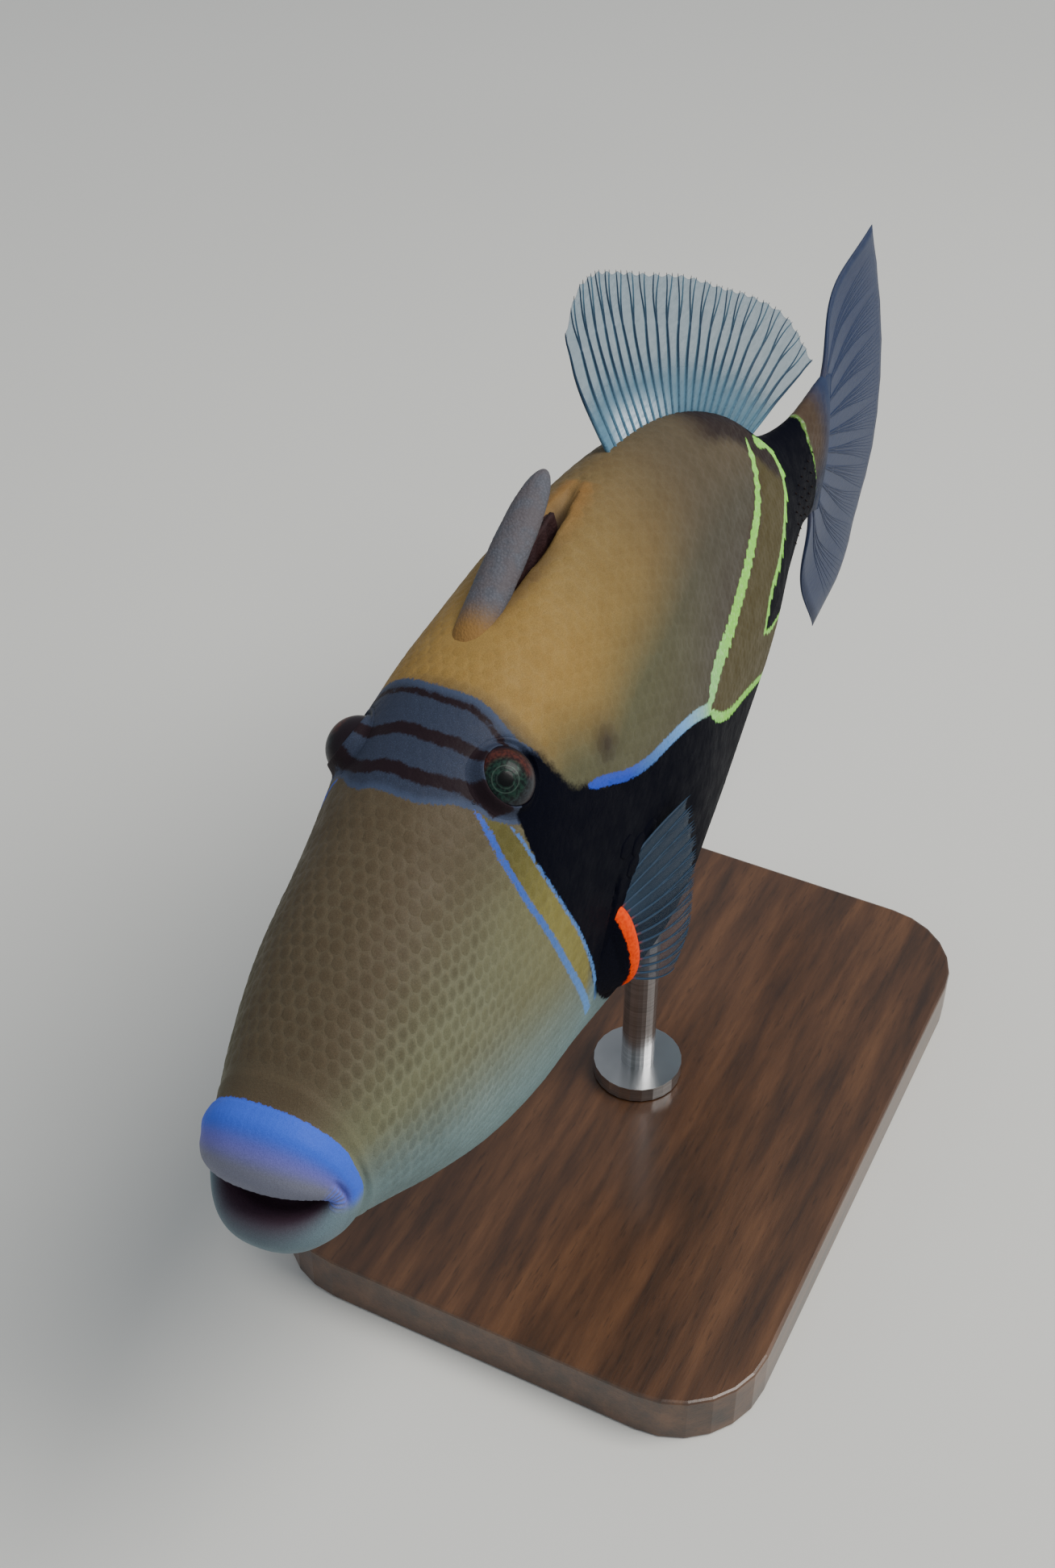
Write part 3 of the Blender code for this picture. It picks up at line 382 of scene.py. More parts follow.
def fish_to_world(points):
    """Fish frame in millimetres to the world in metres."""
    turn = np.array(Euler((BANK, PITCH, 0.0)).to_matrix())
    belly = turn @ np.array((BELLY_POINT_X, 0.0, float(curve(STATION_X, BELLY_Z, BELLY_POINT_X))))
    return (np.asarray(points) @ turn.T - belly + np.array((0.0, 0.0, BELLY_HEIGHT))) * MM


def back_z(x):
    return curve(STATION_X, BACK_Z, x)


def belly_z(x):
    return curve(STATION_X, BELLY_Z, x)


def half_turn(around):
    """Turn from the back, 0, to the belly, pi, and which side it is on."""
    left = around <= math.pi
    return np.where(left, around, 2 * math.pi - around), np.where(left, -1.0, 1.0)


def body_point(x, around):
    """Body without its hollows: around runs down the left side from the back and up the right."""
    x, around = np.broadcast_arrays(np.asarray(x, float), np.asarray(around, float))
    turn, side = half_turn(around)
    upper = np.cos(turn) >= 0
    middle = curve(STATION_X, WIDEST_Z, x)
    reach = np.where(upper, back_z(x), belly_z(x)) - middle
    power = 2 / np.where(upper, curve(STATION_X, BACK_ROUND, x), curve(STATION_X, BELLY_ROUND, x))
    sine = np.clip(np.sin(turn), 0.0, 1.0)
    y = curve(STATION_X, HALF_WIDTH, x) * sine ** power
    z = middle + reach * np.abs(np.cos(turn)) ** power
    away = np.hypot(x - EYE_X, z - EYE_Z) / ORBIT_SPREAD
    y = y + np.where(upper, ORBIT_HEIGHT * np.exp(-away * away) * sine, 0.0)
    drop = smooth(x, TAIL_DROP_START, BODY_END) * math.tan(TAIL_DROP)
    swing = SNOUT_SWING * np.maximum(1 - x / SNOUT_SWING_END, 0.0) ** 2
    return along(x + drop * z, side * y + swing, z)


def eye_axes(side):
    """Middle of an eye, and the directions out of the head, backwards and up over it."""
    middle = np.array((EYE_X, side * EYE_Y, EYE_Z))
    out = np.array((0.0, side * math.cos(EYE_TILT), math.sin(EYE_TILT)))
    back = np.array((1.0, 0.0, 0.0))
    return middle, out, back, np.cross(back, out) * side


def sink_orbits(points):
    """Dip the skin under each eye and its lid."""
    for side in (-1, 1):
        middle, out, _, _ = eye_axes(side)
        away = points - middle
        height = away @ out
        radius = np.linalg.norm(away - height[..., None] * out, axis=-1)
        near = (1 - smooth(radius, *ORBIT_EDGE)) * (height > -4)
        sunk = np.minimum(height, ORBIT_FLOOR)
        points = points + ((sunk - height) * near)[..., None] * out
    return points


def groove_shape(x):
    """Half width and depth of the trough behind the first spine."""
    share = np.clip((x - GROOVE_START) / (GROOVE_END - GROOVE_START), 0.0, 1.0)
    swell = np.sin(np.pi * np.minimum(0.03 + share * 1.2, 1.0) / 2) * (1 - share ** 2.8)
    inside = (x > GROOVE_START) & (x < GROOVE_END)
    return GROOVE_HALF_WIDTH * swell * (1 - 0.35 * share) * inside, GROOVE_DEPTH * swell * inside


def sink_groove(points):
    x, y, z = points[..., 0], points[..., 1], points[..., 2]
    half, depth = groove_shape(x)
    share = np.clip(1 - (y / np.maximum(half, 0.01)) ** 2, 0.0, 1.0)
    floor = back_z(x) - depth * share ** 0.7
    inside = (np.abs(y) < half) & (z > back_z(x) - 6)
    return along(x, y, np.where(inside, np.minimum(z, floor), z))


def sink_gills(points):
    """Slanted slit behind each cheek."""
    x, y, z = points[..., 0], points[..., 1], points[..., 2]
    share = np.clip((z - GILL_BOTTOM[1]) / (GILL_TOP[1] - GILL_BOTTOM[1]), 0.0, 1.0)
    line = GILL_BOTTOM[0] + (GILL_TOP[0] - GILL_BOTTOM[0]) * share
    ends = smooth(z, GILL_BOTTOM[1] - 1.0, GILL_BOTTOM[1] + 1.0)
    ends = ends * (1 - smooth(z, GILL_TOP[1] - 1.0, GILL_TOP[1] + 1.0))
    slit = GILL_DEPTH * np.exp(-((x - line) / GILL_WIDTH) ** 2)
    lip = 0.1 * np.exp(-((x - line + 1.6) / 1.0) ** 2)
    return along(x, y - np.sign(y) * (slit - lip) * ends, z)


def raise_sheath(points):
    """Low ridge of scaly skin along each side of the dorsal fin's rear root."""
    x, y, z = points[..., 0], points[..., 1], points[..., 2]
    along_back = smooth(x, *SHEATH_START) * (1 - smooth(x, *SHEATH_END))
    swell = SHEATH_RISE * along_back * np.exp(-((back_z(x) - z - 1.6) / 1.7) ** 2)
    return along(x, y + np.sign(y) * swell * smooth(np.abs(y), 0.0, 0.8), z)


def surface(x, around):
    """Body with its orbits, groove, fin sheath and gill slits."""
    return sink_gills(raise_sheath(sink_groove(sink_orbits(body_point(x, around)))))


def surface_normals(x, around):
    """Outward direction of the surface."""
    ahead = surface(x + 0.15, around) - surface(x - 0.15, around)
    round_ = surface(x, around + 0.008) - surface(x, around - 0.008)
    return unit(np.cross(round_, ahead))


class BodyMap:
    """Even places on the body: distance along it, and distance down each side from the back."""
    COLUMNS = 240
    TURNS = 240
    FROM = 6.0

    def __init__(self):
        self.x = np.linspace(self.FROM, BODY_END, self.COLUMNS)
        turns = np.linspace(0.0, math.pi, self.TURNS)
        grid = body_point(self.x[:, None], turns[None, :])
        steps = np.linalg.norm(np.diff(grid, axis=1), axis=-1)
        length = np.concatenate((np.zeros((self.COLUMNS, 1)), np.cumsum(steps, axis=1)), axis=1)
        self.girth = length[:, -1]
        shares = np.linspace(0.0, 1.0, self.TURNS)
        self.turn = np.stack([np.interp(shares, row / row[-1], turns) for row in length])
        side_line = body_point(self.x, np.full(self.COLUMNS, 1.0))
        runs = np.linalg.norm(np.diff(side_line, axis=0), axis=-1)
        self.run = np.concatenate(([0.0], np.cumsum(runs)))

    def x_at(self, run):
        return np.interp(run, self.run, self.x)

    def girth_at(self, x):
        return np.interp(x, self.x, self.girth)

    def around_at(self, x, share):
        """Around for a share of the way down: negative shares are on the left."""
        column = np.clip((x - self.FROM) / (BODY_END - self.FROM) * (self.COLUMNS - 1),
                         0, self.COLUMNS - 1.001)
        row = np.clip(np.abs(share), 0.0, 1.0) * (self.TURNS - 1)
        row = np.minimum(row, self.TURNS - 1.001)
        i, j = column.astype(int), row.astype(int)
        a, b = column - i, row - j
        turn = ((1 - a) * (1 - b) * self.turn[i, j] + a * (1 - b) * self.turn[i + 1, j]
                + (1 - a) * b * self.turn[i, j + 1] + a * b * self.turn[i + 1, j + 1])
        return np.where(share < 0, turn, 2 * math.pi - turn)


# Meshes

def grid_faces(rows, columns, closed=False, start=0):
    """Faces between neighbouring rows of equal counts."""
    across = columns if closed else columns - 1
    i, j = np.meshgrid(np.arange(rows - 1), np.arange(across), indexing="ij")
    k = (j + 1) % columns
    low, high = i * columns, (i + 1) * columns
    faces = np.stack((low + j, high + j, high + k, low + k), -1)
    return (faces.reshape(-1, 4) + start).tolist()


class Shape:
    """Points, faces and named values of one mesh while it is put together."""

    def __init__(self):
        self.points = []
        self.faces = []
        self.values = {}
        self.count = 0

    def add(self, points, faces, **values):
        points = np.asarray(points, float).reshape(-1, 3)
        self.points.append(points)
        self.faces += [[index + self.count for index in face] for face in faces]
        for name, value in values.items():
            width = np.shape(value)[-1:] if np.ndim(value) > 1 else ()
            self.values.setdefault(name, []).append(np.broadcast_to(value, (len(points), *width)))
        self.count += len(points)

    def finish(self, name, material, replaced=(), slot="skin", patches=None):
        """Make the object, ride it on the body and hide the parts that it stands for."""
        points = np.concatenate(self.points)
        mesh = bpy.data.meshes.new(name)
        mesh.from_pydata(fish_to_world(points).tolist(), [], self.faces)
        put_vectors(mesh, "place", points)
        for key, value in self.values.items():
            value = np.concatenate(value)
            if value.ndim > 1 and value.shape[1] == 3:
                put_vectors(mesh, key, value)
            else:
                put_numbers(mesh, key, value)
        if patches is not None:
            put_patches(mesh, patches)
        mesh.shade_smooth()
        mesh.materials.append(material)
        mesh.validate()
        thing = bpy.data.objects.new(name, mesh)
        bpy.context.scene.collection.objects.link(thing)
        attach(thing, "root")
        if replaced:
            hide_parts(*replaced)


def put_numbers(mesh, name, values):
    data = mesh.attributes.new(name, "FLOAT", "POINT").data
    data.foreach_set("value", np.asarray(values, np.float32))


def put_vectors(mesh, name, values):
    data = mesh.attributes.new(name, "FLOAT_VECTOR", "POINT").data
    data.foreach_set("vector", np.asarray(values, np.float32).ravel())


def put_patches(mesh, places):
    """Lay the mesh out flat: one place for each point."""
    layer = mesh.uv_layers.new(name="OFBake")
    corner = np.zeros(len(mesh.loops), np.int32)
    mesh.loops.foreach_get("vertex_index", corner)
    layer.data.foreach_set("uv", np.asarray(places, np.float32)[corner].ravel())


def tube(shape, path, radii, across, sides=6, **values):
    """Tapered tube along a path, closed at both ends."""
    ahead = unit(np.gradient(path, axis=0))
    flat = unit(np.cross(ahead, np.asarray(across, float)))[:, None]
    thick = np.cross(flat, ahead[:, None])
    turn = (2 * math.pi * np.arange(sides) / sides)[:, None]
    rings = path[:, None] + (flat * np.cos(turn) + thick * np.sin(turn)) * radii[:, None, None]
    faces = grid_faces(len(path), sides, closed=True)
    faces.append(list(range(sides))[::-1])
    faces.append([(len(path) - 1) * sides + i for i in range(sides)])
    shape.add(rings, faces, **{key: np.repeat(value, sides) for key, value in values.items()})


def closed_loft(shape, rings, **values):
    """Closed body through rings of equal counts, its ends drawn to a middle point."""
    rings = np.asarray(rings, float)
    rows, count = rings.shape[:2]
    points = np.concatenate((rings.reshape(-1, 3), [rings[0].mean(0)], [rings[-1].mean(0)]))
    faces = grid_faces(rows, count, closed=True)
    for i in range(count):
        faces.append([(i + 1) % count, i, rows * count])
        faces.append([(rows - 1) * count + i, (rows - 1) * count + (i + 1) % count, rows * count + 1])
    shape.add(points, faces, **values)


def thin_sheet(shape, middle, across, thickness, **values):
    """Closed sheet of two faces on each side of a grid of middle points."""
    rows, columns = middle.shape[:2]
    half = across * (thickness / 2)[..., None]
    points = np.concatenate(((middle + half).reshape(-1, 3), (middle - half).reshape(-1, 3)))
    front = grid_faces(rows, columns)
    size = rows * columns
    faces = front + [[index + size for index in reversed(face)] for face in front]
    index = np.arange(size).reshape(rows, columns)
    rim = np.concatenate((index[:, 0], index[-1, 1:], index[-2::-1, -1], index[0, -2:0:-1])).tolist()
    for a, b in zip(rim, rim[1:] + rim[:1]):
        faces.append([b, a, a + size, b + size])
    doubled = {key: np.concatenate((np.ravel(value), np.ravel(value))) for key, value in values.items()}
    shape.add(points, faces, **doubled)


# Markings

def fine_line(line):
    """Points at even steps along a smooth line, and how far along it they lie."""
    line = np.asarray(line, float)
    at = np.concatenate(([0.0], np.cumsum(np.linalg.norm(np.diff(line, axis=0), axis=1))))
    fine_at = np.linspace(0.0, at[-1], max(8, int(at[-1] / LINE_STEP)))
    return np.stack((curve(at, line[:, 0], fine_at), curve(at, line[:, 1], fine_at)), -1), fine_at


def smooth_line(line, back=False):
    points = [tuple(point) for point in fine_line(line)[0]]
    return points[::-1] if back else points


def distance_to(points, line):
    """Distance from places in the side view to a line, and the length along it of the nearest point."""
    fine, fine_at = fine_line(line)
    best = np.full(len(points), FAR)
    where = np.zeros(len(points))
    inside = np.all((points > fine.min(0) - FAR) & (points < fine.max(0) + FAR), axis=1)
    near = points[inside]
    best_near = best[inside]
    where_near = where[inside]
    for a, b, start, end in zip(fine[:-1], fine[1:], fine_at[:-1], fine_at[1:]):
        share = np.clip((near - a) @ (b - a) / ((b - a) @ (b - a)), 0.0, 1.0)
        away = np.linalg.norm(near - a - share[:, None] * (b - a), axis=1)
        closer = away < best_near
        best_near = np.where(closer, away, best_near)
        where_near = np.where(closer, start + share * (end - start), where_near)
    best[inside] = best_near
    where[inside] = where_near
    return best, where, fine_at[-1]


def inside_outline(points, outline):
    """Whether places in the side view lie inside a closed outline."""
    x, z = points[:, 0], points[:, 1]
    odd = np.zeros(len(points), bool)
    for (ax, az), (bx, bz) in zip(outline, outline[1:] + outline[:1]):
        if az == bz:
            continue
        odd ^= ((az > z) != (bz > z)) & (x < (bx - ax) * (z - az) / (bz - az) + ax)
    return odd


def field_depth(points, outline, edges):
    """How far places lie inside a field, negative outside, from its drawn edges and their sharpness."""
    depth = np.full(len(points), FAR)
    for edge, sharpness in edges:
        depth = np.minimum(depth, distance_to(points, edge)[0] * sharpness)
    return np.where(inside_outline(points, outline), depth, -depth)


def wedge_outline():
    return (smooth_line(WEDGE_TOP) + smooth_line(WEDGE_BOTTOM) + [(166.0, -40.0), (182.0, -40.0)]
            + smooth_line(WEDGE_REAR, back=True) + [(176.0, 40.0), (152.0, 40.0)])


def black_depth(points):
    """Depth inside the black band and belly, or inside the black wedge on the tail."""
    belly = smooth_line(BLACK_FRONT) + [(92.0, -70.0), (156.0, -70.0)]
    for line in (LINE_LOWER, BLUE_EDGE, BLACK_TOP):
        belly += smooth_line(line, back=True)
    edges = ((BLACK_FRONT, 1.0), (LINE_LOWER, 1.0), (BLUE_EDGE, 1.0), (BLACK_TOP, 0.4))
    wedge_edges = ((WEDGE_TOP, 1.0), (WEDGE_BOTTOM, 1.0), (WEDGE_REAR, 1.0))
    return np.maximum(field_depth(points, belly, edges),
                      field_depth(points, wedge_outline(), wedge_edges))


def olive_share(points):
    """The field between the rising line, the lower line and the wedge."""
    outline = (smooth_line(LINE_RISING) + smooth_line(WEDGE_TOP) + smooth_line(WEDGE_BOTTOM)
               + [(163.0, -40.0), (152.0, -40.0)] + smooth_line(LINE_LOWER, back=True))
    return inside_outline(points, outline).astype(float)


def saw(value):
    """Teeth that rise slowly and fall fast."""
    share = value - np.floor(value)
    return share * share


def line_edge(line, halves, period, where, share, in_wedge):
    """Half width of a line along its length: toothed on the wedge, wavy on the other tail lines."""
    edge = halves[0] + (halves[1] - halves[0]) * share
    if line is WEDGE_TOP:
        teeth = TOOTH * saw(where / period) * smooth(share, 0.25, 0.4) * in_wedge
        return edge - 1.5 * (1 - smooth(where, 2.5, 6.0)) + teeth
    if not period:
        return edge * (0.55 + 0.45 * smooth(where, -0.2, 2.5))
    edge = edge * (1 + 0.18 * np.sin(2 * math.pi * where / period)) + 0.1 * np.sin(2.6 * where)
    edge = edge * (0.45 + 0.55 * smooth(where, 0.0, 5.0))
    return edge - 2.0 * (line is LINE_RISING) * smooth(share, 0.9, 0.99)


def line_strength(points):
    """How deep places lie inside a coloured line, and that line's tone."""
    in_wedge = inside_outline(points, wedge_outline())
    depth = np.full(len(points), -FAR)
    tone = np.zeros(len(points))
    for line, halves, period, (start, end) in LINES:
        away, where, length = distance_to(points, line)
        share = where / length
        inside = line_edge(line, halves, period, where, share, in_wedge) - away
        tone = np.where(inside > depth, start + (end - start) * share ** 1.5, tone)
        depth = np.maximum(depth, inside)
    return depth, tone


def band_depth(points):
    """Depth inside the band between the eyes, and inside its dark stripes."""
    x, y, z = points.T
    spread = smooth(np.abs(y), 4.0, 12.5)
    wave = 0.2 * np.sin(y * 0.7) + 0.07 * np.sin(y * 2.3 + 1.0)
    front = BAND_FRONT[0] + (BAND_FRONT[1] - BAND_FRONT[0]) * spread
    above = z - (EYE_Z - 1.5)
    behind = BAND_WIDER_RIGHT * smooth(y, 1.0, 12.0)
    back = BAND_BACK + behind + wave * 0.6 - 1.2 * spread
    band = np.minimum.reduce((x - front - wave, back - x, above))
    stripes = np.full(len(points), -FAR)
    for middle, half in BAND_STRIPES:
        bent = middle + spread * 0.35 * (EYE_X - middle) + wave + behind * (middle > 53)
        stripes = np.maximum(stripes, half - np.abs(x - bent))
    beside_eye = BESIDE_EYE - np.hypot(x - EYE_X, (z - EYE_Z - 0.4) / 0.85)
    return np.maximum(band, beside_eye), np.minimum(stripes, above)


def blend(a, b, share):
    return a * (1 - share[:, None]) + b * share[:, None]


def head_colour(x, down, side, c):
    """Snout over cheek over throat, with the yellow stripe between the two front lines."""
    colour = blend(c["snout"][None], c["cheek"], smooth(down, 0.02, 0.34))
    tinge = smooth(x, 30, 50) * smooth(down, 0.1, 0.3) * (1 - smooth(down, 0.5, 0.7))
    colour = blend(colour, c["yellow"], 0.25 * tinge)
    colour = blend(colour, c["throat"], smooth(down - 0.004 * (x - 20), 0.34, 0.74))
    outline = smooth_line(CHEEK_FRONT) + smooth_line(CHEEK_REAR, back=True)
    stripe = inside_outline(side, outline) * (1 - smooth(down, 0.62, 0.85))
    yellow = c["yellow"] * (0.45 + 0.55 * smooth(down, 0.12, 0.4))[:, None]
    colour = colour + (yellow - colour) * stripe[:, None]
    return colour * (1 - 0.22 * smooth(down, 0.3, 0.6) * (1 - smooth(x, 16, 30)))[:, None]


def trunk_colour(x, down, c):
    """Gold back, tan flank and grey-brown rear, with the throat's tint on the breast."""
    lower = smooth(x, 60, 74)
    fall = smooth(down, 0.05 + 0.03 * lower, 0.2 + 0.08 * lower) + 0.25 * smooth(x, 68, 86)
    colour = blend(c["gold"][None], c["tan"] * 0.92, np.clip(fall, 0, 1))
    rear = smooth(x, 76, 124) * 0.85 + smooth(down, 0.2, 0.45) * 0.45
    colour = blend(colour, c["grey_brown"], np.clip(rear, 0, 1))
    return blend(colour, c["throat"], smooth(down, 0.6, 0.75) * (1 - smooth(x, 90, 100)))


def tail_colour(x, z, c):
    """Rust over the tail's own tint, which takes over where the fin starts."""
    colour = blend(c["rust"][None], c["tail"] * 0.5, smooth(-z, -5, 7))
    return blend(colour, c["tail"] * 0.9, smooth(x, 184, 193))


def shade_back(colour, points, depth, c):
    """Dark groove behind the first spine with its rim, its web's own red-brown and painted shade in the
    trough; dark sheath of the dorsal fin, its own dark brown and painted shade under the scaly ridge;
    and a smudge.
    """
    x, y, z = points.T
    half, _ = groove_shape(x)
    on_top = depth < 8
    rim = np.exp(-((np.abs(y) - half - 0.8) / 1.3) ** 2) * (half > 0.2) * on_top
    colour = blend(colour, c["gold"] * (0.95, 0.72, 0.62), rim * smooth(x, 82, 98) * 0.6)
    # Painted shade over the groove's own red-brown: the front of the rim and the inside of the trough
    # are darkened
    colour = blend(colour, c["groove"], rim * (1 - smooth(x, 80, 92)) * 0.55)
    inside = smooth(half - np.abs(y), 0.0, 1.2) * (depth > 0.4) * on_top
    colour = blend(colour, c["groove"], inside * (1 - 0.7 * smooth(x, 90, 98)))
    # Dark root of the dorsal fin: its own dark brown with painted shade under the scaly ridge
    sheath = 1 - smooth(depth - 3.6 * smooth(x, 140, 156), 3.0, 6.0)
    sheath = sheath * smooth(x, 126, 138) * (1 - smooth(x, 159, 162))
    colour = blend(colour, c["groove"] * 0.55, sheath * 0.95)
    smudge = np.exp(-((x - SMUDGE[0]) ** 2 + (z - SMUDGE[1]) ** 2) / 7.5)
    return blend(colour, c["groove"] * 0.6, smudge * 0.72)


def ground_colour(points, colours):
    """Colour of the hide without its lines and black fields."""
    x, _, z = points.T
    c = {key: np.array(getattr(colours, key)) for key in GROUND_COLOURS}
    side = points[:, [0, 2]]
    depth = back_z(x) - z
    down = depth / (back_z(x) - belly_z(x))
    colour = blend(head_colour(x, down, side, c), trunk_colour(x, down, c), smooth(x, 56, 60))
    colour = blend(colour, c["olive"], olive_share(side) * (x > 95))
    colour = blend(colour, tail_colour(x, z, c), smooth(x, 177, 182))
    away = distance_to(side, LINE_RISING)[0]
    colour = blend(colour, c["rust"] * 0.9, 0.6 * np.exp(-(away - 1.4) ** 2) * (x > 101))
    return shade_back(colour, points, depth, c)


def markings(points, colours, middles=None):
    """All values that the hide's material reads. A plate's colours lean to those at its middle."""
    if middles is None:
        middles = points
    side = points[:, [0, 2]]
    line, tone = line_strength(side)
    band, stripe = band_depth(points)
    return {"ground": ground_colour(0.6 * points + 0.4 * middles, colours),
            "dark": black_depth(0.75 * side + 0.25 * middles[:, [0, 2]]),
            "line": line, "tone": tone, "band": band, "stripe": stripe}


# Materials

class Paint:
    """One material and short calls that build its nodes."""

    def __init__(self, name, roughness=0.5, **sockets):
        self.material = bpy.data.materials.new(name)
        self.material.use_nodes = True
        self.nodes = self.material.node_tree.nodes
        self.links = self.material.node_tree.links
        self.shader = self.nodes["Principled BSDF"]
        self.set(Roughness=roughness, **sockets)

    def set(self, **sockets):
        for name, value in sockets.items():
            self.feed(self.shader.inputs[name.replace("_", " ")], value)

    def feed(self, socket, value):
        if isinstance(value, bpy.types.NodeSocket):
            self.links.new(value, socket)
        elif np.ndim(value) == 1 and len(value) < len(socket.default_value):
            socket.default_value = (*value, 1.0)
        else:
            socket.default_value = value

    def value(self, name, kind="Fac"):
        node = self.nodes.new("ShaderNodeAttribute")
        node.attribute_name = name
        return node.outputs[kind]

    def noise(self, scale, detail=3.0, rough=0.55, vector=None, stretch=None):
        """Cloudy noise, in the fish's own places unless another vector is given."""
        node = self.nodes.new("ShaderNodeTexNoise")
        node.inputs["Scale"].default_value = scale
        node.inputs["Detail"].default_value = detail
        node.inputs["Roughness"].default_value = rough
        self.links.new(self.place(stretch) if vector is None else vector, node.inputs["Vector"])
        return node.outputs["Fac"]

    def cells(self, scale):
        """Distance to the middle of the nearest cell."""
        node = self.nodes.new("ShaderNodeTexVoronoi")
        node.inputs["Scale"].default_value = scale
        self.links.new(self.place(), node.inputs["Vector"])
        return node.outputs["Distance"]

    def place(self, stretch=None):
        """Places in the fish's frame, in millimetres, stretched along its axes if asked."""
        vector = self.value("place", "Vector")
        return vector if stretch is None else self.stretched(vector, stretch)

    def stretched(self, vector, stretch):
        node = self.nodes.new("ShaderNodeMapping")
        node.inputs["Scale"].default_value = stretch
        self.links.new(vector, node.inputs["Vector"])
        return node.outputs["Vector"]

    def own_place(self, stretch=(1.0, 1.0, 1.0)):
        """Places in the object's own frame, stretched along its axes."""
        return self.stretched(self.nodes.new("ShaderNodeTexCoord").outputs["Object"], stretch)

    def math(self, operation, a, b=0.0, c=0.0, clamp=False):
        node = self.nodes.new("ShaderNodeMath")
        node.operation = operation
        node.use_clamp = clamp
        for socket, value in zip(node.inputs, (a, b, c)):
            self.feed(socket, value)
        return node.outputs[0]

    def step(self, value, low, high, to_low=0.0, to_high=1.0):
        """Eased step from low to high."""
        node = self.nodes.new("ShaderNodeMapRange")
        node.interpolation_type = "SMOOTHSTEP"
        for key, number in zip(("Value", "From Min", "From Max", "To Min", "To Max"),
                               (value, low, high, to_low, to_high)):
            self.feed(node.inputs[key], number)
        return node.outputs["Result"]

    def mix(self, share, a, b, kind="MIX"):
        node = self.nodes.new("ShaderNodeMix")
        node.data_type = "RGBA"
        node.blend_type = kind
        self.feed(node.inputs["Factor"], share)
        self.feed(node.inputs[6], a)
        self.feed(node.inputs[7], b)
        return node.outputs[2]

    def ramp(self, value, *stops):
        node = self.nodes.new("ShaderNodeValToRGB")
        while len(node.color_ramp.elements) < len(stops):
            node.color_ramp.elements.new(0.5)
        for element, (position, colour) in zip(node.color_ramp.elements, stops):
            element.position = position
            element.color = (*colour, 1.0)
        self.links.new(value, node.inputs["Fac"])
        return node.outputs["Color"]

    def bump(self, height, strength, distance):
        node = self.nodes.new("ShaderNodeBump")
        node.inputs["Strength"].default_value = strength
        node.inputs["Distance"].default_value = distance * MM
        self.links.new(height, node.inputs["Height"])
        return node.outputs["Normal"]

    def shifted(self, value, noise, amount):
        """A value pushed up and down by noise round its middle, for ragged edges."""
        return self.math("MULTIPLY_ADD", self.math("SUBTRACT", noise, 0.5), amount, value)


def times(colour, factors):
    return np.array(colour) * factors


def hide_ground(p, mottle, fine, grain):
    """Mottled ground, and over it the dark middles of the plates with the pale net between them."""
    ground = p.mix(p.step(mottle, 0.35, 0.7, 0.0, 0.28), p.value("ground", "Color"),
                   (0.68, 0.62, 0.56), "MULTIPLY")
    ground = p.mix(0.6, ground, grain, "OVERLAY")
    ground = p.mix(p.step(fine, 0.5, 0.72, 0.0, 0.35), ground, (0.5, 0.42, 0.38), "SOFT_LIGHT")
    centre = p.mix(0.42, ground, (0.42, 0.4, 0.42), "MULTIPLY")
    net = p.mix(0.035, ground, (0.9, 1.0, 0.75), "SCREEN")
    cell = p.mix(p.step(p.shifted(p.value("cell"), fine, 0.7), 0.25, 1.12), centre, net)
    strength = p.math("MULTIPLY", p.value("contrast"), p.step(p.value("speck"), 0.0, 1.0, 0.3, 1.0))
    return p.mix(strength, ground, cell)


def hide_band(p, colour, colours, fine, grain):
    """Slate band across the head with its pale edge and dark stripes."""
    band = p.value("band")
    shade = p.mix(p.step(band, 0.2, 1.4), colours.band_rim, colours.band)
    shade = p.mix(p.step(grain, 0.48, 0.72, 0.0, 0.6), shade, times(colours.band_rim, 1.3))
    colour = p.mix(p.step(p.shifted(band, fine, 1.0), -0.16, 0.16), colour, shade)
    stripe = p.step(p.shifted(p.value("stripe"), fine, 0.8), -0.25, 0.2)
    return p.mix(stripe, colour, colours.stripe)


def black_paint(p, colours, grain):
    return p.mix(p.step(grain, 0.45, 0.7, 0.0, 0.5), colours.black, times(colours.black, 2.4))


def hide_lines(p, colour, colours, fine, grain):
    """Blue and green lines with beads in their green parts."""
    green = colours.line_green
    tone = p.value("tone")
    shade = p.ramp(tone, (0.08, colours.line_blue), (0.15, paint(68, 102, 166)),
                   (0.32, paint(104, 152, 206)), (0.48, colours.line_pale), (0.6, green),
                   (0.84, green), (1.0, times(green, (0.32, 0.18, 0.5))))
    shade = p.mix(p.step(grain, 0.5, 0.8, 0.0, 0.6), shade, (1.0, 1.0, 0.9), "SOFT_LIGHT")
    shade = p.mix(p.step(fine, 0.5, 0.7, 0.0, 0.4), shade, (0.42, 0.55, 0.5), "MULTIPLY")
    beads = p.math("MULTIPLY", p.step(p.cells(1.1), 0.1, 0.5, 0.4, 0.0), p.step(tone, 0.3, 0.55))
    shade = p.mix(beads, shade, (0.4, 0.45, 0.34), "SCREEN")
    return p.mix(p.step(p.shifted(p.value("line"), fine, 1.0), -0.14, 0.16), colour, shade)


def hide_lips(p, colour, grain):
    """Fold and lips, with a ragged edge where they meet the snout."""
    ragged = p.noise(3.2, 3.0, stretch=(1.0, 1.0, 0.35))
    lip = p.mix(0.5, p.value("lip", "Color"), grain, "OVERLAY")
    return p.mix(p.step(p.shifted(p.value("fold"), ragged, 0.7), 0.92, 1.08), colour, lip)


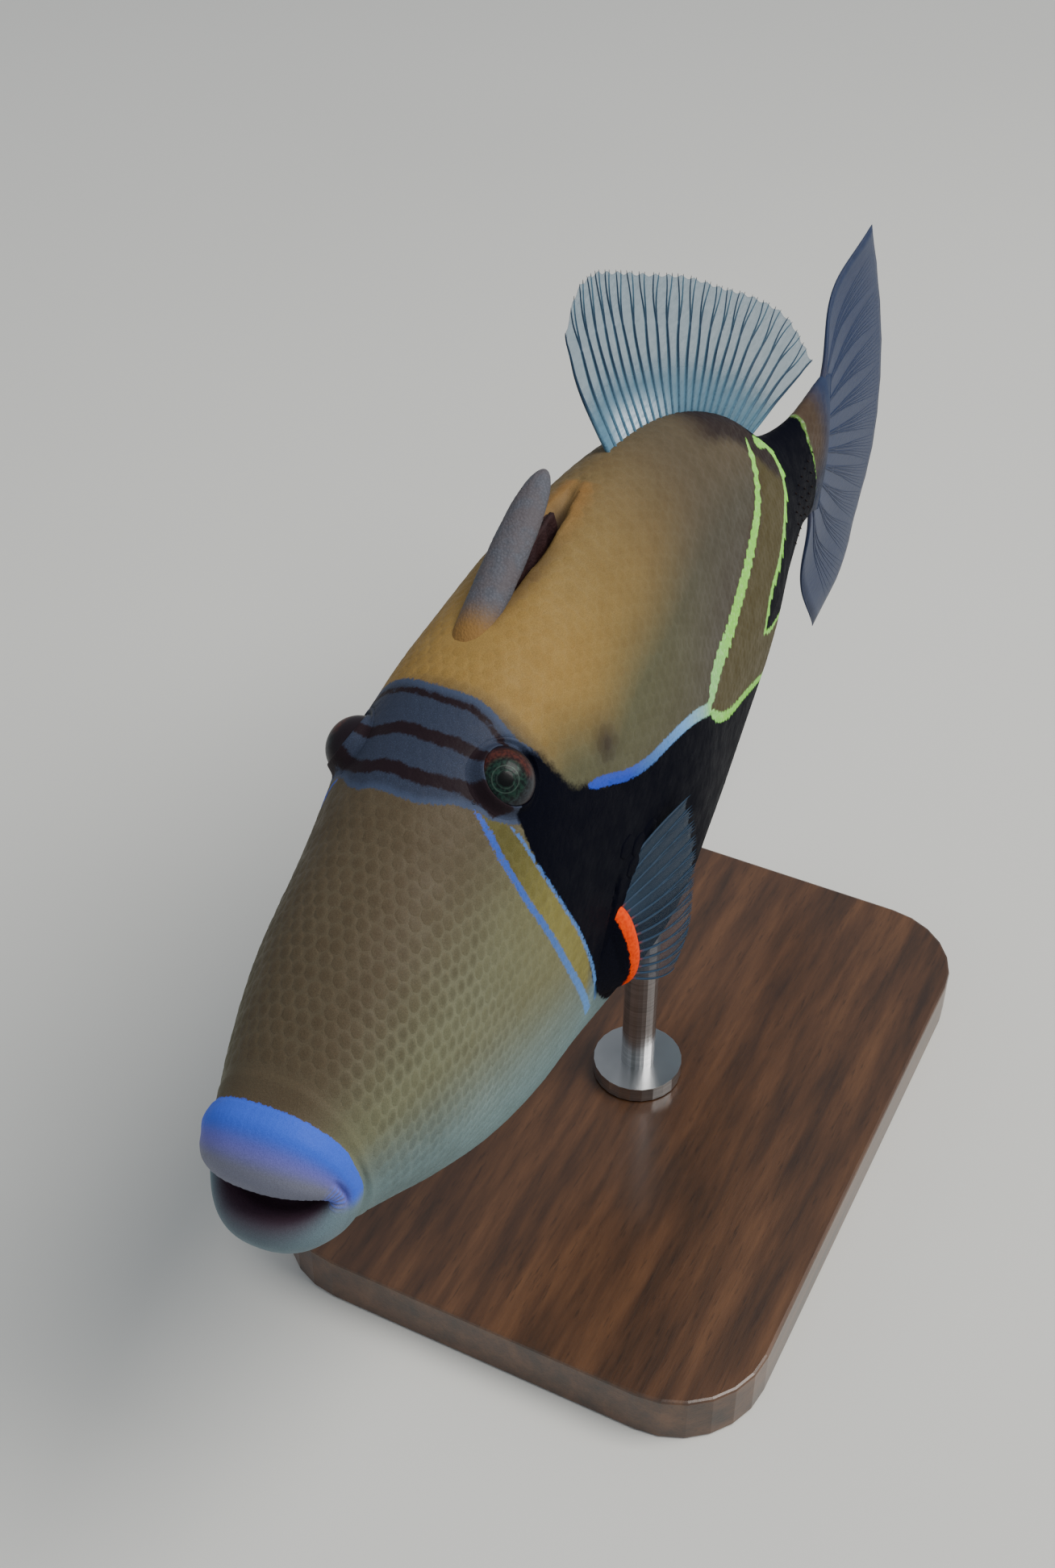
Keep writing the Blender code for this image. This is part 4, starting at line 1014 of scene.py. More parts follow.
def hide_material(colours):
    """Hide of the fish: ground, band, black fields, lines and lips, one over the other."""
    p = Paint("hide", 0.6, Specular_IOR_Level=0.14)
    mottle = p.noise(0.3, 4.0)
    fine = p.noise(2.6, 3.0)
    grain = p.noise(9.0, 3.0)
    colour = hide_ground(p, mottle, fine, grain)
    colour = hide_band(p, colour, colours, fine, grain)
    dark = p.step(p.shifted(p.value("dark"), fine, 0.45), -0.35, 0.3)
    colour = p.mix(dark, colour, black_paint(p, colours, grain))
    colour = hide_lines(p, colour, colours, fine, grain)
    relief = p.math("MULTIPLY_ADD", p.cells(2.4), 0.5, p.math("MULTIPLY", grain, 0.6))
    p.set(Base_Color=hide_lips(p, colour, grain), Roughness=p.step(mottle, 0.3, 0.7, 0.52, 0.66),
          Specular_IOR_Level=p.math("MULTIPLY_ADD", dark, -0.12, 0.14), Normal=p.bump(relief, 0.3, 0.2))
    return p.material


# Skin

def mouth_ring(ring, around):
    """One ring of the mouth from its places above, at the corner and below."""
    (top_x, top_z), (side_x, side_y, side_z), (low_x, low_z) = ring
    top = np.clip(np.cos(around), 0.0, 1.0)
    low = np.clip(-np.cos(around), 0.0, 1.0)
    x = side_x + (top_x - side_x) * top ** 1.25 + (low_x - side_x) * low ** 1.25
    z = side_z + (top_z - side_z) * top ** 0.85 + (low_z - side_z) * low ** 0.9
    sine = np.sin(around)
    y = -side_y * np.sign(sine) * np.abs(sine) ** 0.85
    return along(x, y + SNOUT_SWING * (1 - x / SNOUT_SWING_END) ** 2, z)


def corner_share(around):
    """How near places on the upper half of the mouth are to its corners."""
    return smooth(np.abs(np.sin(around)), 0.92, 0.997) * smooth(np.cos(around), -0.3, 0.05)


def mouth_relief(at, around):
    """Cleft between fold and lip, and fine wrinkles across them towards the corners."""
    upper = smooth(np.cos(around), -0.3, 0.1)
    corner = corner_share(around)
    cleft = -(0.03 + 0.5 * corner) * upper * np.exp(-((at - 5.35) / 0.3) ** 2)
    lips = smooth(at, 5.5, 6.2) * (1 - smooth(at, 8.0, 8.8))
    wrinkles = 0.09 * corner * lips * np.sin(around * 84 + 2.0 * at)
    frills = 0.05 * upper * np.exp(-((at - 8.0) / 0.5) ** 2) * np.sin(around * 61) * np.sin(around * 23)
    folds = 0.03 * upper * smooth(at, 2.4, 3.0) * (1 - smooth(at, 4.6, 5.2))
    folds = folds * np.sin(around * 47 + at) * np.sin(around * 29 - 2 * at + 1.0)
    return cleft + wrinkles + frills + folds


def mouth_rows(around, steps):
    """Rows from inside the throat out to the cheek, with each row's place among the rings."""
    keys = [body_point(np.full(around.shape, MOUTH_SUPPORT), around),
            body_point(np.full(around.shape, MOUTH_START), around)]
    keys += [mouth_ring(ring, around) for ring in MOUTH_RINGS]
    throat = np.array(MOUTH_THROAT)
    keys.append(throat + (keys[-1] - throat) * 0.05)
    keys = np.stack(keys)
    index = np.arange(len(keys))
    at = np.linspace(len(keys) - 1, 1, steps * (len(keys) - 2), endpoint=False)
    rows = np.stack([np.stack([curve(index, keys[:, j, axis], at) for j in range(keys.shape[1])], -1)
                     for axis in range(3)], -1)
    inwards = np.gradient(rows, axis=0)
    onwards = np.roll(rows, -1, axis=1) - np.roll(rows, 1, axis=1)
    out = unit(np.cross(onwards, inwards))
    return rows + out * mouth_relief(at[:, None], around[None, :])[..., None], at


def mouth_colour(at, around, colours):
    """Blue fold, lavender and pale upper lip, grey lower lip and dark mouth, with painted shade
    darkening the lower lip inwards and the opening: at counts rings inwards.
    """
    c = {key: np.array(getattr(colours, key)) for key in ("fold", "lavender", "lip", "chin", "mouth")}
    corner = corner_share(around)
    upper = blend(c["fold"][None], c["lavender"], smooth(at, 4.2, 5.6))
    upper = blend(upper, c["lip"], smooth(at, 5.3, 6.5) * (1 - 0.4 * corner))
    crest = corner * smooth(at, 5.2, 6.0) * np.clip(np.sin(around * 84 + 2.0 * at), 0, 1)
    upper = blend(upper, c["fold"] * 1.5, crest * 0.7)
    # The upper lip darkens into the opening: the mouth's own colour with painted shade
    upper = blend(upper, c["mouth"], smooth(at, 8.3, 9.1))
    # Painted shade: the lower lip darkens towards the mouth, as under the upper lip
    lower = blend(c["chin"][None], c["mouth"], smooth(at, 6.9, 9.8))
    return blend(lower, upper, smooth(np.cos(around), -0.25, 0.0))


def mouth_edge(at, around):
    """Above 1 on the fold and lips: their outer edge is where it is 1."""
    round_end = 1 + (np.cos(around) + 0.3) * 5
    outer = 2.15 + 0.8 * corner_share(around)
    above = np.minimum(1 + (at - outer) * 1.4, np.where(at < 5.0, round_end, 3.0))
    below = 1 + (at - 5.0) * 0.4
    return np.clip(np.where(np.cos(around) > -0.4, above, below), 0.0, 3.0)


def tail_sheath(last):
    """Rows that draw the tail's end out into the thin sheath of the fin."""
    back = np.array((math.cos(TAIL_DROP), 0.0, -math.sin(TAIL_DROP)))
    rows = []
    for step in range(1, SHEATH_ROWS + 1):
        run = step / SHEATH_ROWS
        rows.append(last * (1.0, 1 - 0.8 * smooth(run, 0.0, 1.0), 1.0) + back * SHEATH_LENGTH * run)
    return np.stack(rows)


def build_skin(body, colours, body_map):
    """One closed skin for head, trunk, lips and tail root."""
    half = SKIN_COLUMNS // 2
    share = np.concatenate((-np.arange(half + 1) / half, np.arange(half - 1, 0, -1) / half))
    front = body_map.around_at(np.full(SKIN_COLUMNS, MOUTH_START), share)
    front[0] = 0.0
    mouth, at = mouth_rows(front, MOUTH_STEPS)
    spread = np.linspace(0.0, 1.0, SKIN_ROWS) ** 1.12
    xs = MOUTH_START + (BODY_END - MOUTH_START) * spread
    x = np.repeat(xs[:, None], SKIN_COLUMNS, axis=1)
    around = body_map.around_at(x, np.broadcast_to(share, x.shape))
    around[:, 0] = 0.0
    trunk = surface(x, around) - body.skin_inset / MM * surface_normals(x, around)
    rows = np.concatenate((mouth, trunk, tail_sheath(trunk[-1])))
    count = len(rows)
    points = rows.reshape(-1, 3)
    values = markings(points, colours)
    ring = np.repeat(np.concatenate((at, np.ones(count - len(at)))), SKIN_COLUMNS)
    turn = np.tile(front, count)
    chin = smooth(-np.cos(turn), 0.1, 0.4) * smooth(ring, 1.5, 5.0)
    values["ground"] = blend(values["ground"], np.array(colours.chin), chin)
    values["lip"] = mouth_colour(ring, turn, colours)
    values["fold"] = mouth_edge(ring, turn) * (ring > 1.0)
    values["cell"] = np.ones(len(points))
    values["contrast"] = snout_contrast(points)
    values["speck"] = np.ones(len(points))
    faces = grid_faces(count, SKIN_COLUMNS, closed=True)
    faces.append(list(range(SKIN_COLUMNS))[::-1])
    faces.append([(count - 1) * SKIN_COLUMNS + j for j in range(SKIN_COLUMNS)])
    shape = Shape()
    shape.add(points, faces, **values)
    i, j = np.divmod(np.arange(len(points)), SKIN_COLUMNS)
    shape.finish("skin", hide_material(colours), SKIN_NODES,
                 patches=np.stack((i / count, j / SKIN_COLUMNS), -1))


def snout_contrast(points):
    """How strongly the cells of the hide show: most on the snout and cheek."""
    x, _, z = points.T
    down = (back_z(x) - z) / (back_z(x) - belly_z(x))
    head = 1 - smooth(x, 42, 50)
    shown = smooth(x, 5, 15) * (1 - 0.6 * smooth(x, 30, 42)) * (0.4 + 0.6 * smooth(down, 0.02, 0.2))
    return head * (1 - 0.5 * smooth(down, 0.4, 0.75)) * shown * 0.8 + (1 - head) * 0.16


# Plates

def plate_sites(body_map, spacing, random):
    """Middles of all plates: distance along, signed distance down from the back."""
    runs = np.arange(1.2, body_map.run[-1] - 2.0, spacing * math.sqrt(3) / 2)
    sites = []
    for row, run in enumerate(runs):
        x = float(body_map.x_at(run))
        girth = float(body_map.girth_at(x))
        offset = 0.5 * (row % 2)
        reach = int(girth / spacing) + 1
        downs = (np.arange(-reach, reach + 1) + offset) * spacing
        downs = downs[np.abs(downs) < girth - spacing * 0.3]
        sites += [(run, down) for down in downs]
    sites = np.array(sites)
    return sites + random.normal(0.0, 0.035 * spacing, sites.shape)


def plate_clear(points):
    """Leave out plates under the eyes, the spines, the pectoral bases and the mouth's fold."""
    x, y, z = points.T
    clear = x > MOUTH_START + 0.4
    root = (np.array(PECTORAL_ROOT_TOP) + np.array(PECTORAL_ROOT_BOTTOM)) / 2
    for side in (-1, 1):
        middle, out, _, _ = eye_axes(side)
        away = points - middle
        height = away @ out
        radius = np.linalg.norm(away - height[:, None] * out, axis=1)
        clear &= ~((radius < EYE_ROOM) & (height > -5))
        beside = (np.abs(x - root[0]) < PECTORAL_ROOM[0]) & (np.abs(z - root[2]) < PECTORAL_ROOM[1])
        clear &= ~(beside & (y * side > 0))
    on_back = z > 20
    half, _ = groove_shape(x)
    clear &= ~(on_back & (np.abs(y) < half + GROOVE_ROOM) & (half > 0.1))
    at_spine = (np.abs(y) < SPINE_ROOM_Y) & (x > SPINE_ROOM_X[0]) & (x < SPINE_ROOM_X[1])
    return clear & ~(on_back & at_spine)


def plate_outlines(spacing, snout, random):
    """Reach of each plate's outline: six-sided, and rounder on the snout."""
    turn = 2 * math.pi * np.arange(PLATE_SIDES) / PLATE_SIDES
    hexagon = 0.5 / np.cos(np.mod(turn, math.pi / 3) - math.pi / 6)
    rounding = np.clip(0.35 + 0.4 * snout, 0, 1)[:, None]
    outline = spacing * (hexagon[None, :] * (1 - rounding) + 0.5 * rounding) * 0.985
    return outline * (1 + random.normal(0.0, 0.02, outline.shape))


def plate_rise(height, reach, rings, angle, random):
    """Rise of each plate's points: a low dome, tilted a little, its rim sunk into the skin."""
    height = height * (1 + random.normal(0.0, 0.12, len(height)))
    tilt = random.normal(0.0, 0.012, (len(height), 2))
    dome = height[:, None] * (1 - rings ** 2.4) - PLATE_SINK * rings ** 8
    return dome + reach * (tilt[:, :1] * np.cos(angle) + tilt[:, 1:] * np.sin(angle))


def build_plates(body, colours, body_map):
    """Mosaic of low plates over the whole hide, in four pieces."""
    random = np.random.default_rng(SEED)
    spacing = body.plate_spacing / MM
    sites = plate_sites(body_map, spacing, random)
    x_mid = body_map.x_at(sites[:, 0])
    around_mid = body_map.around_at(x_mid, sites[:, 1] / body_map.girth_at(x_mid))
    middles = body_point(x_mid, around_mid)
    clear = plate_clear(middles) & (x_mid < BODY_END - PLATE_LIMIT)
    sites, x_mid, middles = sites[clear], x_mid[clear], middles[clear]
    snout = snout_contrast(middles)
    outline = plate_outlines(spacing, snout, random)
    rings = np.concatenate(([0.0], np.repeat(PLATE_RINGS, PLATE_SIDES)))
    turn = 2 * math.pi * np.arange(PLATE_SIDES) / PLATE_SIDES
    angle = np.concatenate(([0.0], np.tile(turn, len(PLATE_RINGS))))
    reach = np.concatenate((outline[:, :1], np.tile(outline, (1, len(PLATE_RINGS)))), axis=1) * rings
    run = sites[:, :1] + reach * np.cos(angle)
    down = sites[:, 1:] + reach * np.sin(angle)
    x = body_map.x_at(run)
    around = body_map.around_at(x, np.clip(down / body_map.girth_at(x), -1.0, 1.0))
    around = np.where(np.abs(down) < 1e-6, 0.0, around)
    height = body.plate_height / MM * (0.4 + 0.6 * np.clip(snout * 1.4, 0, 1))
    flat = (band_depth(middles)[0] > -1.0) | (black_depth(middles[:, [0, 2]]) > -0.5)
    height = np.where(flat, 0.3 * height, height)
    rise = plate_rise(height, reach, rings, angle, random) - body.skin_inset / MM
    points = surface(x, around) + surface_normals(x, around) * rise[..., None]
    speck = random.random(len(sites))
    root = sites / (body_map.run[-1], 2 * body_map.girth.max()) + (0.0, 0.5)
    local = np.stack((reach * np.cos(angle), reach * np.sin(angle)), -1) / spacing * PATCH
    patches = 0.01 + root[:, None, :] * 0.98 + local
    size = len(rings)
    one = plate_faces()
    left, front = sites[:, 1] < 0, x_mid < PLATES_PART
    for name, chosen in (("head_left", left & front), ("head_right", ~left & front),
                         ("trunk_left", left & ~front), ("trunk_right", ~left & ~front)):
        picked = points[chosen].reshape(-1, 3)
        number = int(chosen.sum())
        values = markings(picked, colours, np.repeat(middles[chosen], size, axis=0))
        values["cell"] = np.tile(rings, number)
        values["contrast"] = np.repeat(snout[chosen], size)
        values["speck"] = np.repeat(speck[chosen], size)
        faces = (one[None] + (np.arange(number) * size)[:, None, None]).reshape(-1, one.shape[1])
        shape = Shape()
        shape.add(picked, faces.tolist(), **values)
        shape.finish(f"plates_{name}", bpy.data.materials["hide"],
                     patches=patches[chosen].reshape(-1, 2))


def plate_faces():
    """Triangles of one plate: a fan in the middle and rings round it."""
    faces = []
    for i in range(PLATE_SIDES):
        j = (i + 1) % PLATE_SIDES
        faces.append((0, 1 + i, 1 + j))
        for ring in range(len(PLATE_RINGS) - 1):
            a = 1 + ring * PLATE_SIDES
            b = a + PLATE_SIDES
            faces += [(a + i, b + i, b + j), (a + i, b + j, a + j)]
    return np.array(faces)


# Eyes

def gaze_axes(side):
    """Directions of an eye's gaze, of the top of its iris, and across both."""
    _, out, back, up = eye_axes(side)
    level = out * math.cos(GAZE_FORWARD[side]) - back * math.sin(GAZE_FORWARD[side])
    gaze = unit(level * math.cos(GAZE_UP[side]) + up * math.sin(GAZE_UP[side]))
    lean = up + 1.1 * back
    top = unit(lean - (lean @ gaze) * gaze)
    return gaze, top, np.cross(gaze, top)


def build_eyes(colours):
    iris = iris_material()
    rows, columns = 90, 96
    lean = np.linspace(0.0, math.pi, rows)[:, None]
    clock = (2 * math.pi * np.arange(columns) / columns)[None, :]
    for name, side in (("left", -1), ("right", 1)):
        middle, out, _, _ = eye_axes(side)
        middle = middle + EYE_OUT * out
        gaze, top, beside = gaze_axes(side)
        ray = (np.cos(lean)[..., None] * gaze + (np.sin(lean) * np.sin(clock))[..., None] * top
               + (np.sin(lean) * np.cos(clock))[..., None] * beside)
        dish = 0.1 * smooth(lean, 0.24, 0.3) * (1 - smooth(lean, 0.3, 0.7))
        ball = middle + ray * (EYE_BALL - dish)[..., None]
        shape = Shape()
        shape.add(ball, grid_faces(rows, columns, closed=True), lean=np.repeat(lean, columns),
                  clock=np.tile(np.sin(clock[0]), rows))
        shape.finish(f"eye_{name}", iris, (f"eye_{name}",), "eye")
        build_lid(name, side, colours)


def build_lid(name, side, colours):
    """Thin rounded rim of skin round an eye, its outer edge lying on the head."""
    middle, out, back, up = eye_axes(side)
    columns = 96
    turn = 2 * math.pi * np.arange(columns) / columns
    xs = np.linspace(EYE_X - 9, EYE_X + 9, 110)
    turns = np.linspace(0.15, 1.5, 110)
    patch_x, patch_turn = np.meshgrid(xs, turns, indexing="ij")
    around = patch_turn if side < 0 else 2 * math.pi - patch_turn
    patch = body_point(patch_x, around).reshape(-1, 3) - middle
    flat = np.stack((patch @ back, patch @ up), -1)
    natural = patch @ out
    profile_radii = [radius for radius, _ in LID_PROFILE]
    radii = np.interp(np.linspace(0, len(LID_PROFILE) - 1, 24), range(len(LID_PROFILE)), profile_radii)
    heights = curve(profile_radii, [height for _, height in LID_PROFILE], radii)
    rows = []
    for radius, height in zip(radii, heights):
        wobble = 1 + 0.008 * np.sin(3 * turn + 1) + 0.006 * np.sin(7 * turn)
        target = np.stack((np.cos(turn), np.sin(turn)), -1) * (radius * wobble)[:, None]
        gap = np.linalg.norm(flat[None] - target[:, None], axis=-1)
        nearest = np.argpartition(gap, 4, axis=1)[:, :4]
        ground = natural[nearest].mean(1)
        share = smooth(radius, *LID_BLEND)
        sunk = ground - 0.06 - 0.32 * smooth(radius, *LID_SINK)
        lift = (1 - share) * height + share * sunk
        rows.append(middle + target[:, :1] * back + target[:, 1:] * up + lift[:, None] * out)
    rows = np.stack(rows)
    loop = np.concatenate((rows, rows[::-1] - out * LID_THICKNESS))
    faces = grid_faces(len(loop), columns, closed=True)
    last = (len(loop) - 1) * columns
    faces += [[last + i, i, (i + 1) % columns, last + (i + 1) % columns] for i in range(columns)]
    points = loop.reshape(-1, 3)
    values = markings(points, colours)
    values["line"] = np.full(len(points), -2.0)
    shape = Shape()
    shape.add(points, faces, **values)
    shape.finish(f"lid_{name}", bpy.data.materials["hide"])


def iris_material():
    """Dark pupil within thin pale rings, green iris, rust-red above it and dark below."""
    p = Paint("iris", 0.4, Specular_IOR_Level=0.12, Coat_Weight=0.1, Coat_Roughness=0.12)
    lean = p.value("lean")
    clock = p.value("clock")
    streak = p.noise(2.2, 4.0)
    fine = p.noise(7.0, 3.0)
    green = p.mix(p.step(streak, 0.38, 0.65), paint(8, 17, 17), paint(24, 48, 40))
    red = p.mix(p.step(streak, 0.35, 0.68), paint(42, 20, 20), paint(74, 36, 30))
    low = p.mix(p.step(streak, 0.35, 0.68), paint(10, 12, 18), paint(34, 40, 46))
    rusty = p.step(p.math("MULTIPLY_ADD", fine, 0.2, clock), -0.05, 0.45)
    outer = p.mix(rusty, low, red)
    colour = p.mix(p.step(lean, 0.56, 0.8), green, outer)
    colour = p.mix(p.step(lean, 0.95, 1.2), colour, paint(26, 18, 24))
    for inner, strength in ((0.24, 0.1), (0.38, 0.2)):
        ring = p.math("MULTIPLY", p.step(lean, inner, inner + 0.02),
                      p.step(lean, inner + 0.03, inner + 0.06, strength, 0.0))
        colour = p.mix(ring, colour, paint(104, 124, 112))
    colour = p.mix(p.step(lean, 0.2, 0.24, 1.0, 0.0), colour, paint(4, 6, 7))
    p.set(Base_Color=colour, Normal=p.bump(streak, 0.15, 0.15))
    return p.material


# Spines and knob

def spine_rings(spine, steps=52, sides=40):
    """Sections of a stout rough spine, rounded at its sunk root and at its tip."""
    root, tip = np.array(spine["root"]), np.array(spine["tip"])
    ahead = unit(tip - root)
    up = np.array((-ahead[2], 0.0, ahead[0]))
    sunk = -0.14 * np.cos(np.linspace(0.05, 0.5, 8) * math.pi)
    share = np.concatenate((sunk[:-1], np.linspace(0.0, 0.92, steps),
                            1 - 0.08 * np.linspace(0.9, 0.0, 10)[:-1] ** 2))
    upper = np.clip(share, 0.0, 1.0)
    taper = (0.95 + 0.15 * upper - 0.4 * upper ** 3) * np.sqrt(1 - upper ** 9)
    taper = taper * np.sqrt(1 - (np.minimum(share, 0.0) / 0.1405) ** 2)
    turn = 2 * math.pi * np.arange(sides) / sides
    middle = root + (tip - root) * share[:, None]
    rough = 1 + 0.018 * np.sin(turn[None, :] * 9 + share[:, None] * 60) * np.sin(share[:, None] * 90)
    deep = spine["deep"] * taper[:, None] * np.cos(turn) * rough
    wide = spine["wide"] * taper[:, None] * np.sin(turn) * rough
    rings = middle[:, None] + up * deep[..., None] + np.array((0.0, 1.0, 0.0)) * wide[..., None]
    root_share = np.concatenate((np.repeat(share, sides), (share[0], share[-1])))
    return rings, root_share


def spine_material(name, colour, root=None):
    """Rough bony skin, tinted towards its root where a root colour is given."""
    p = Paint(name, 0.68, Specular_IOR_Level=0.15)
    grain = p.cells(2.6)
    fine = p.noise(5.0, 4.0)
    cloud = p.noise(0.35, 3.0)
    tone = p.mix(p.step(grain, 0.15, 0.7), times(colour, 1.12), times(colour, 0.86))
    tone = p.mix(p.step(fine, 0.5, 0.8, 0.0, 0.5), tone, times(colour, (1.5, 1.4, 1.3)))
    tone = p.mix(p.step(cloud, 0.35, 0.65, 0.0, 0.45), tone, times(colour, (1.15, 0.85, 0.7)))
    if root is not None:
        share = p.shifted(p.value("share"), fine, 0.1)
        tone = p.mix(p.step(share, 0.0, 0.2, 1.0, 0.0), tone, root)
    p.set(Base_Color=tone, Normal=p.bump(p.math("ADD", grain, fine), 0.4, 0.22))
    return p.material


def build_spines(colours):
    grey = spine_material("spine", colours.spine, times(colours.gold, (0.8, 0.7, 0.75)))
    dark = spine_material("groove", colours.groove)
    first = Shape()
    rings, share = spine_rings(FIRST_SPINE)
    closed_loft(first, rings, share=share)
    first.finish("dorsal_spine_first", grey, ("dorsal_spine_first",), "spine")
    second = Shape()
    closed_loft(second, spine_rings(SECOND_SPINE, 24, 20)[0])
    second.finish("dorsal_spine_second", dark, ("dorsal_spine_second",), "spine")
    root, tip = np.array(FIRST_SPINE["root"]), np.array(FIRST_SPINE["tip"])
    share = np.linspace(0.0, 1.0, 40)
    x = SPINE_WEB_X[0] + (SPINE_WEB_X[1] - SPINE_WEB_X[0]) * share
    slope = (tip - root)[2] / (tip - root)[0]
    under = root[2] + slope * (x - root[0]) - FIRST_SPINE["deep"] * 1.05
    low = back_z(x) - GROOVE_DEPTH - 0.6
    down = np.linspace(0.0, 1.0, 14)
    top = np.minimum(under + 0.5, back_z(x) + 0.8)
    z = top[:, None] + (low - top)[:, None] * down
    pleat = 0.25 * np.sin(x[:, None] * 1.7 + down * 3.0) * np.sin(math.pi * down)
    middle = along(x[:, None], SPINE_WEB_Y + pleat, z)
    web = Shape()
    swell = np.sin(math.pi * (0.1 + 0.8 * share))[:, None] * (0.4 + 0.6 * down)
    thin_sheet(web, middle, np.array((0.0, 1.0, 0.0)), 0.5 + 1.1 * swell)
    web.finish("dorsal_spine_web", dark, ("dorsal_spine_web",), "spine")


def build_pelvic_knob(colours):
    """Rough knob at the end of the pelvis."""
    share = np.linspace(0.0, 1.0, 30)
    x = PELVIC_X[0] + (PELVIC_X[1] - PELVIC_X[0]) * share
    swell = 0.25 + 0.75 * np.sin(math.pi * np.minimum(0.1 + 0.85 * share ** 1.6, 1.0))
    turn = 2 * math.pi * np.arange(24) / 24
    rough = 1 + 0.05 * np.sin(turn * 8 + share[:, None] * 30) * np.sin(share[:, None] * 44)
    y = (1.9 * swell)[:, None] * np.sin(turn) * rough
    z = (belly_z(x) - 0.4 - 1.4 * swell)[:, None] + (2.6 * swell)[:, None] * np.cos(turn) * rough
    shape = Shape()
    closed_loft(shape, along(x[:, None], y, z))
    knob = spine_material("knob", times(colours.black, 2.2))
    shape.finish("pelvic_knob", knob, ("pelvic_knob",), "spine")


def flank_width(x, z):
    """Half width of the body at places in the side view, as far as its back and belly."""
    x, z = np.broadcast_arrays(np.asarray(x, float), np.asarray(z, float))
    middle = curve(STATION_X, WIDEST_Z, x)
    upper = z >= middle
    reach = np.where(upper, back_z(x), belly_z(x)) - middle
    power = np.where(upper, curve(STATION_X, BACK_ROUND, x), curve(STATION_X, BELLY_ROUND, x))
    part = np.minimum(np.abs((z - middle) / reach), 1.0)
    return curve(STATION_X, HALF_WIDTH, x) * (1 - part ** power) ** (1 / power)


def side_place(x, z, side):
    """Point and outward direction on the flank at a place in the side view."""
    point = np.array((x, side * flank_width(x, z), z))
    behind = np.array((x + 1, side * flank_width(x + 1, z), z))
    above = np.array((x, side * flank_width(x, z + 1), z + 1))
    out = unit(np.cross(behind - point, above - point))
    out = out if out[1] * side > 0 else -out
    drop = smooth(np.array(x), TAIL_DROP_START, BODY_END) * math.tan(TAIL_DROP)
    return point + (float(drop) * z, 0.0, 0.0), out


def side_axes(x, z, side):
    """Point on the flank, and the directions backwards, up and outwards there."""
    place, out = side_place(x, z, side)
    ahead = unit(np.array((1.0, 0.0, 0.0)) - out[0] * out)
    return place, ahead, np.cross(ahead, out), out


def build_scutes(colours):
    """Bony plates behind each gill slit."""
    shape = Shape()
    turn = 2 * math.pi * np.arange(18) / 18
    angular = 1 + 0.06 * np.cos(6 * turn)
    for side in (-1, 1):
        for x, z in SCUTES:
            place, ahead, up, out = side_axes(x, z, side)
            flat = np.cos(turn)[:, None] * ahead * 1.1 + np.sin(turn)[:, None] * up * 0.9
            rings = np.stack([place + flat * (SCUTE_RADIUS * reach * angular)[:, None] + out * rise
                              for reach, rise in SCUTE_PROFILE])
            ends = (rings[0].mean(0), rings[-1].mean(0))
            points = np.concatenate((rings.reshape(-1, 3), ends))
            closed_loft(shape, rings, **markings(points, colours))
    shape.finish("scutes", bpy.data.materials["hide"])


def build_spinules():
    """Hooked spinules in rows on each side of the tail root."""
    random = np.random.default_rng(SEED + 1)
    shape = Shape()
    share = np.linspace(0.0, 1.0, 7)
    for side in (-1, 1):
        for row, z in enumerate(SPINULE_ROWS):
            for i in range(SPINULES_IN_ROW):
                x = SPINULE_START + (i + 0.5 * (row % 2)) * SPINULE_STEP + random.normal(0, 0.15)
                place, out = side_place(x, z, side)
                hook = np.array((-0.6, 0.0, 0.0)) * share[:, None] ** 2
                path = place + out * (SPINULE_LENGTH * share - 0.4)[:, None] + hook
                tube(shape, path, 0.2 * (1 - share) ** 0.8 + 0.03, (0.0, 0.0, 1.0), sides=8)
    shape.finish("spinules", spine_material("spinule", paint(34, 27, 26)), slot="spine")


# Fins

def unpaired_place(root_x, edge, sign, tips):
    """Sheet of a fin on the back or belly: t runs along the root, r from root to tip."""
    def place(t, r):
        t, r = np.broadcast_arrays(np.asarray(t, float), np.asarray(r, float))
        x = root_x[0] + (root_x[1] - root_x[0]) * t
        root = along(x, 0.0, edge(x) + sign * GAP)
        tip = along(curve(tips["at"], tips["x"], t), 0.0, curve(tips["at"], tips["z"], t))
        side = curve(tips["at"], tips["y"], t) * (1.8 * r - 0.8 * r * r)
        bow = 0.05 * np.linalg.norm(tip - root, axis=-1) * np.sin(np.pi * r)
        return root + (tip - root) * r[..., None] + along(-bow * 0.4, side, sign * bow)
    return place


def caudal_place(t, r):
    """Tail fin, fanned from the dropped tail's end, its outer rays bowed outwards."""
    t, r = np.broadcast_arrays(np.asarray(t, float), np.asarray(r, float))
    back = np.array((math.cos(TAIL_DROP), 0.0, -math.sin(TAIL_DROP)))
    up = np.array((math.sin(TAIL_DROP), 0.0, math.cos(TAIL_DROP)))
    across = 1 - 2 * t
    root = np.array((BODY_END, 0.0, 0.0)) + back * 1.5 * GAP
    root = root + up * (CAUDAL_HALF_ROOT * across)[..., None]
    tip = along(curve(CAUDAL_TIPS["at"], CAUDAL_TIPS["x"], t), 0.0,
                curve(CAUDAL_TIPS["at"], CAUDAL_TIPS["z"], t))
    bow = CAUDAL_BOW * across * np.abs(across) * np.sin(np.pi * r)
    side = curve(CAUDAL_TIPS["at"], CAUDAL_TIPS["y"], t) * r * r
    side = side + CAUDAL_SIDE_BOW * across * across * np.sin(np.pi * r) ** 2
    ahead = unit(tip - root)
    outwards = along(-ahead[..., 2], 0.0, ahead[..., 0])
    return root + (tip - root) * r[..., None] + outwards * bow[..., None] + along(0.0, side, 0.0)


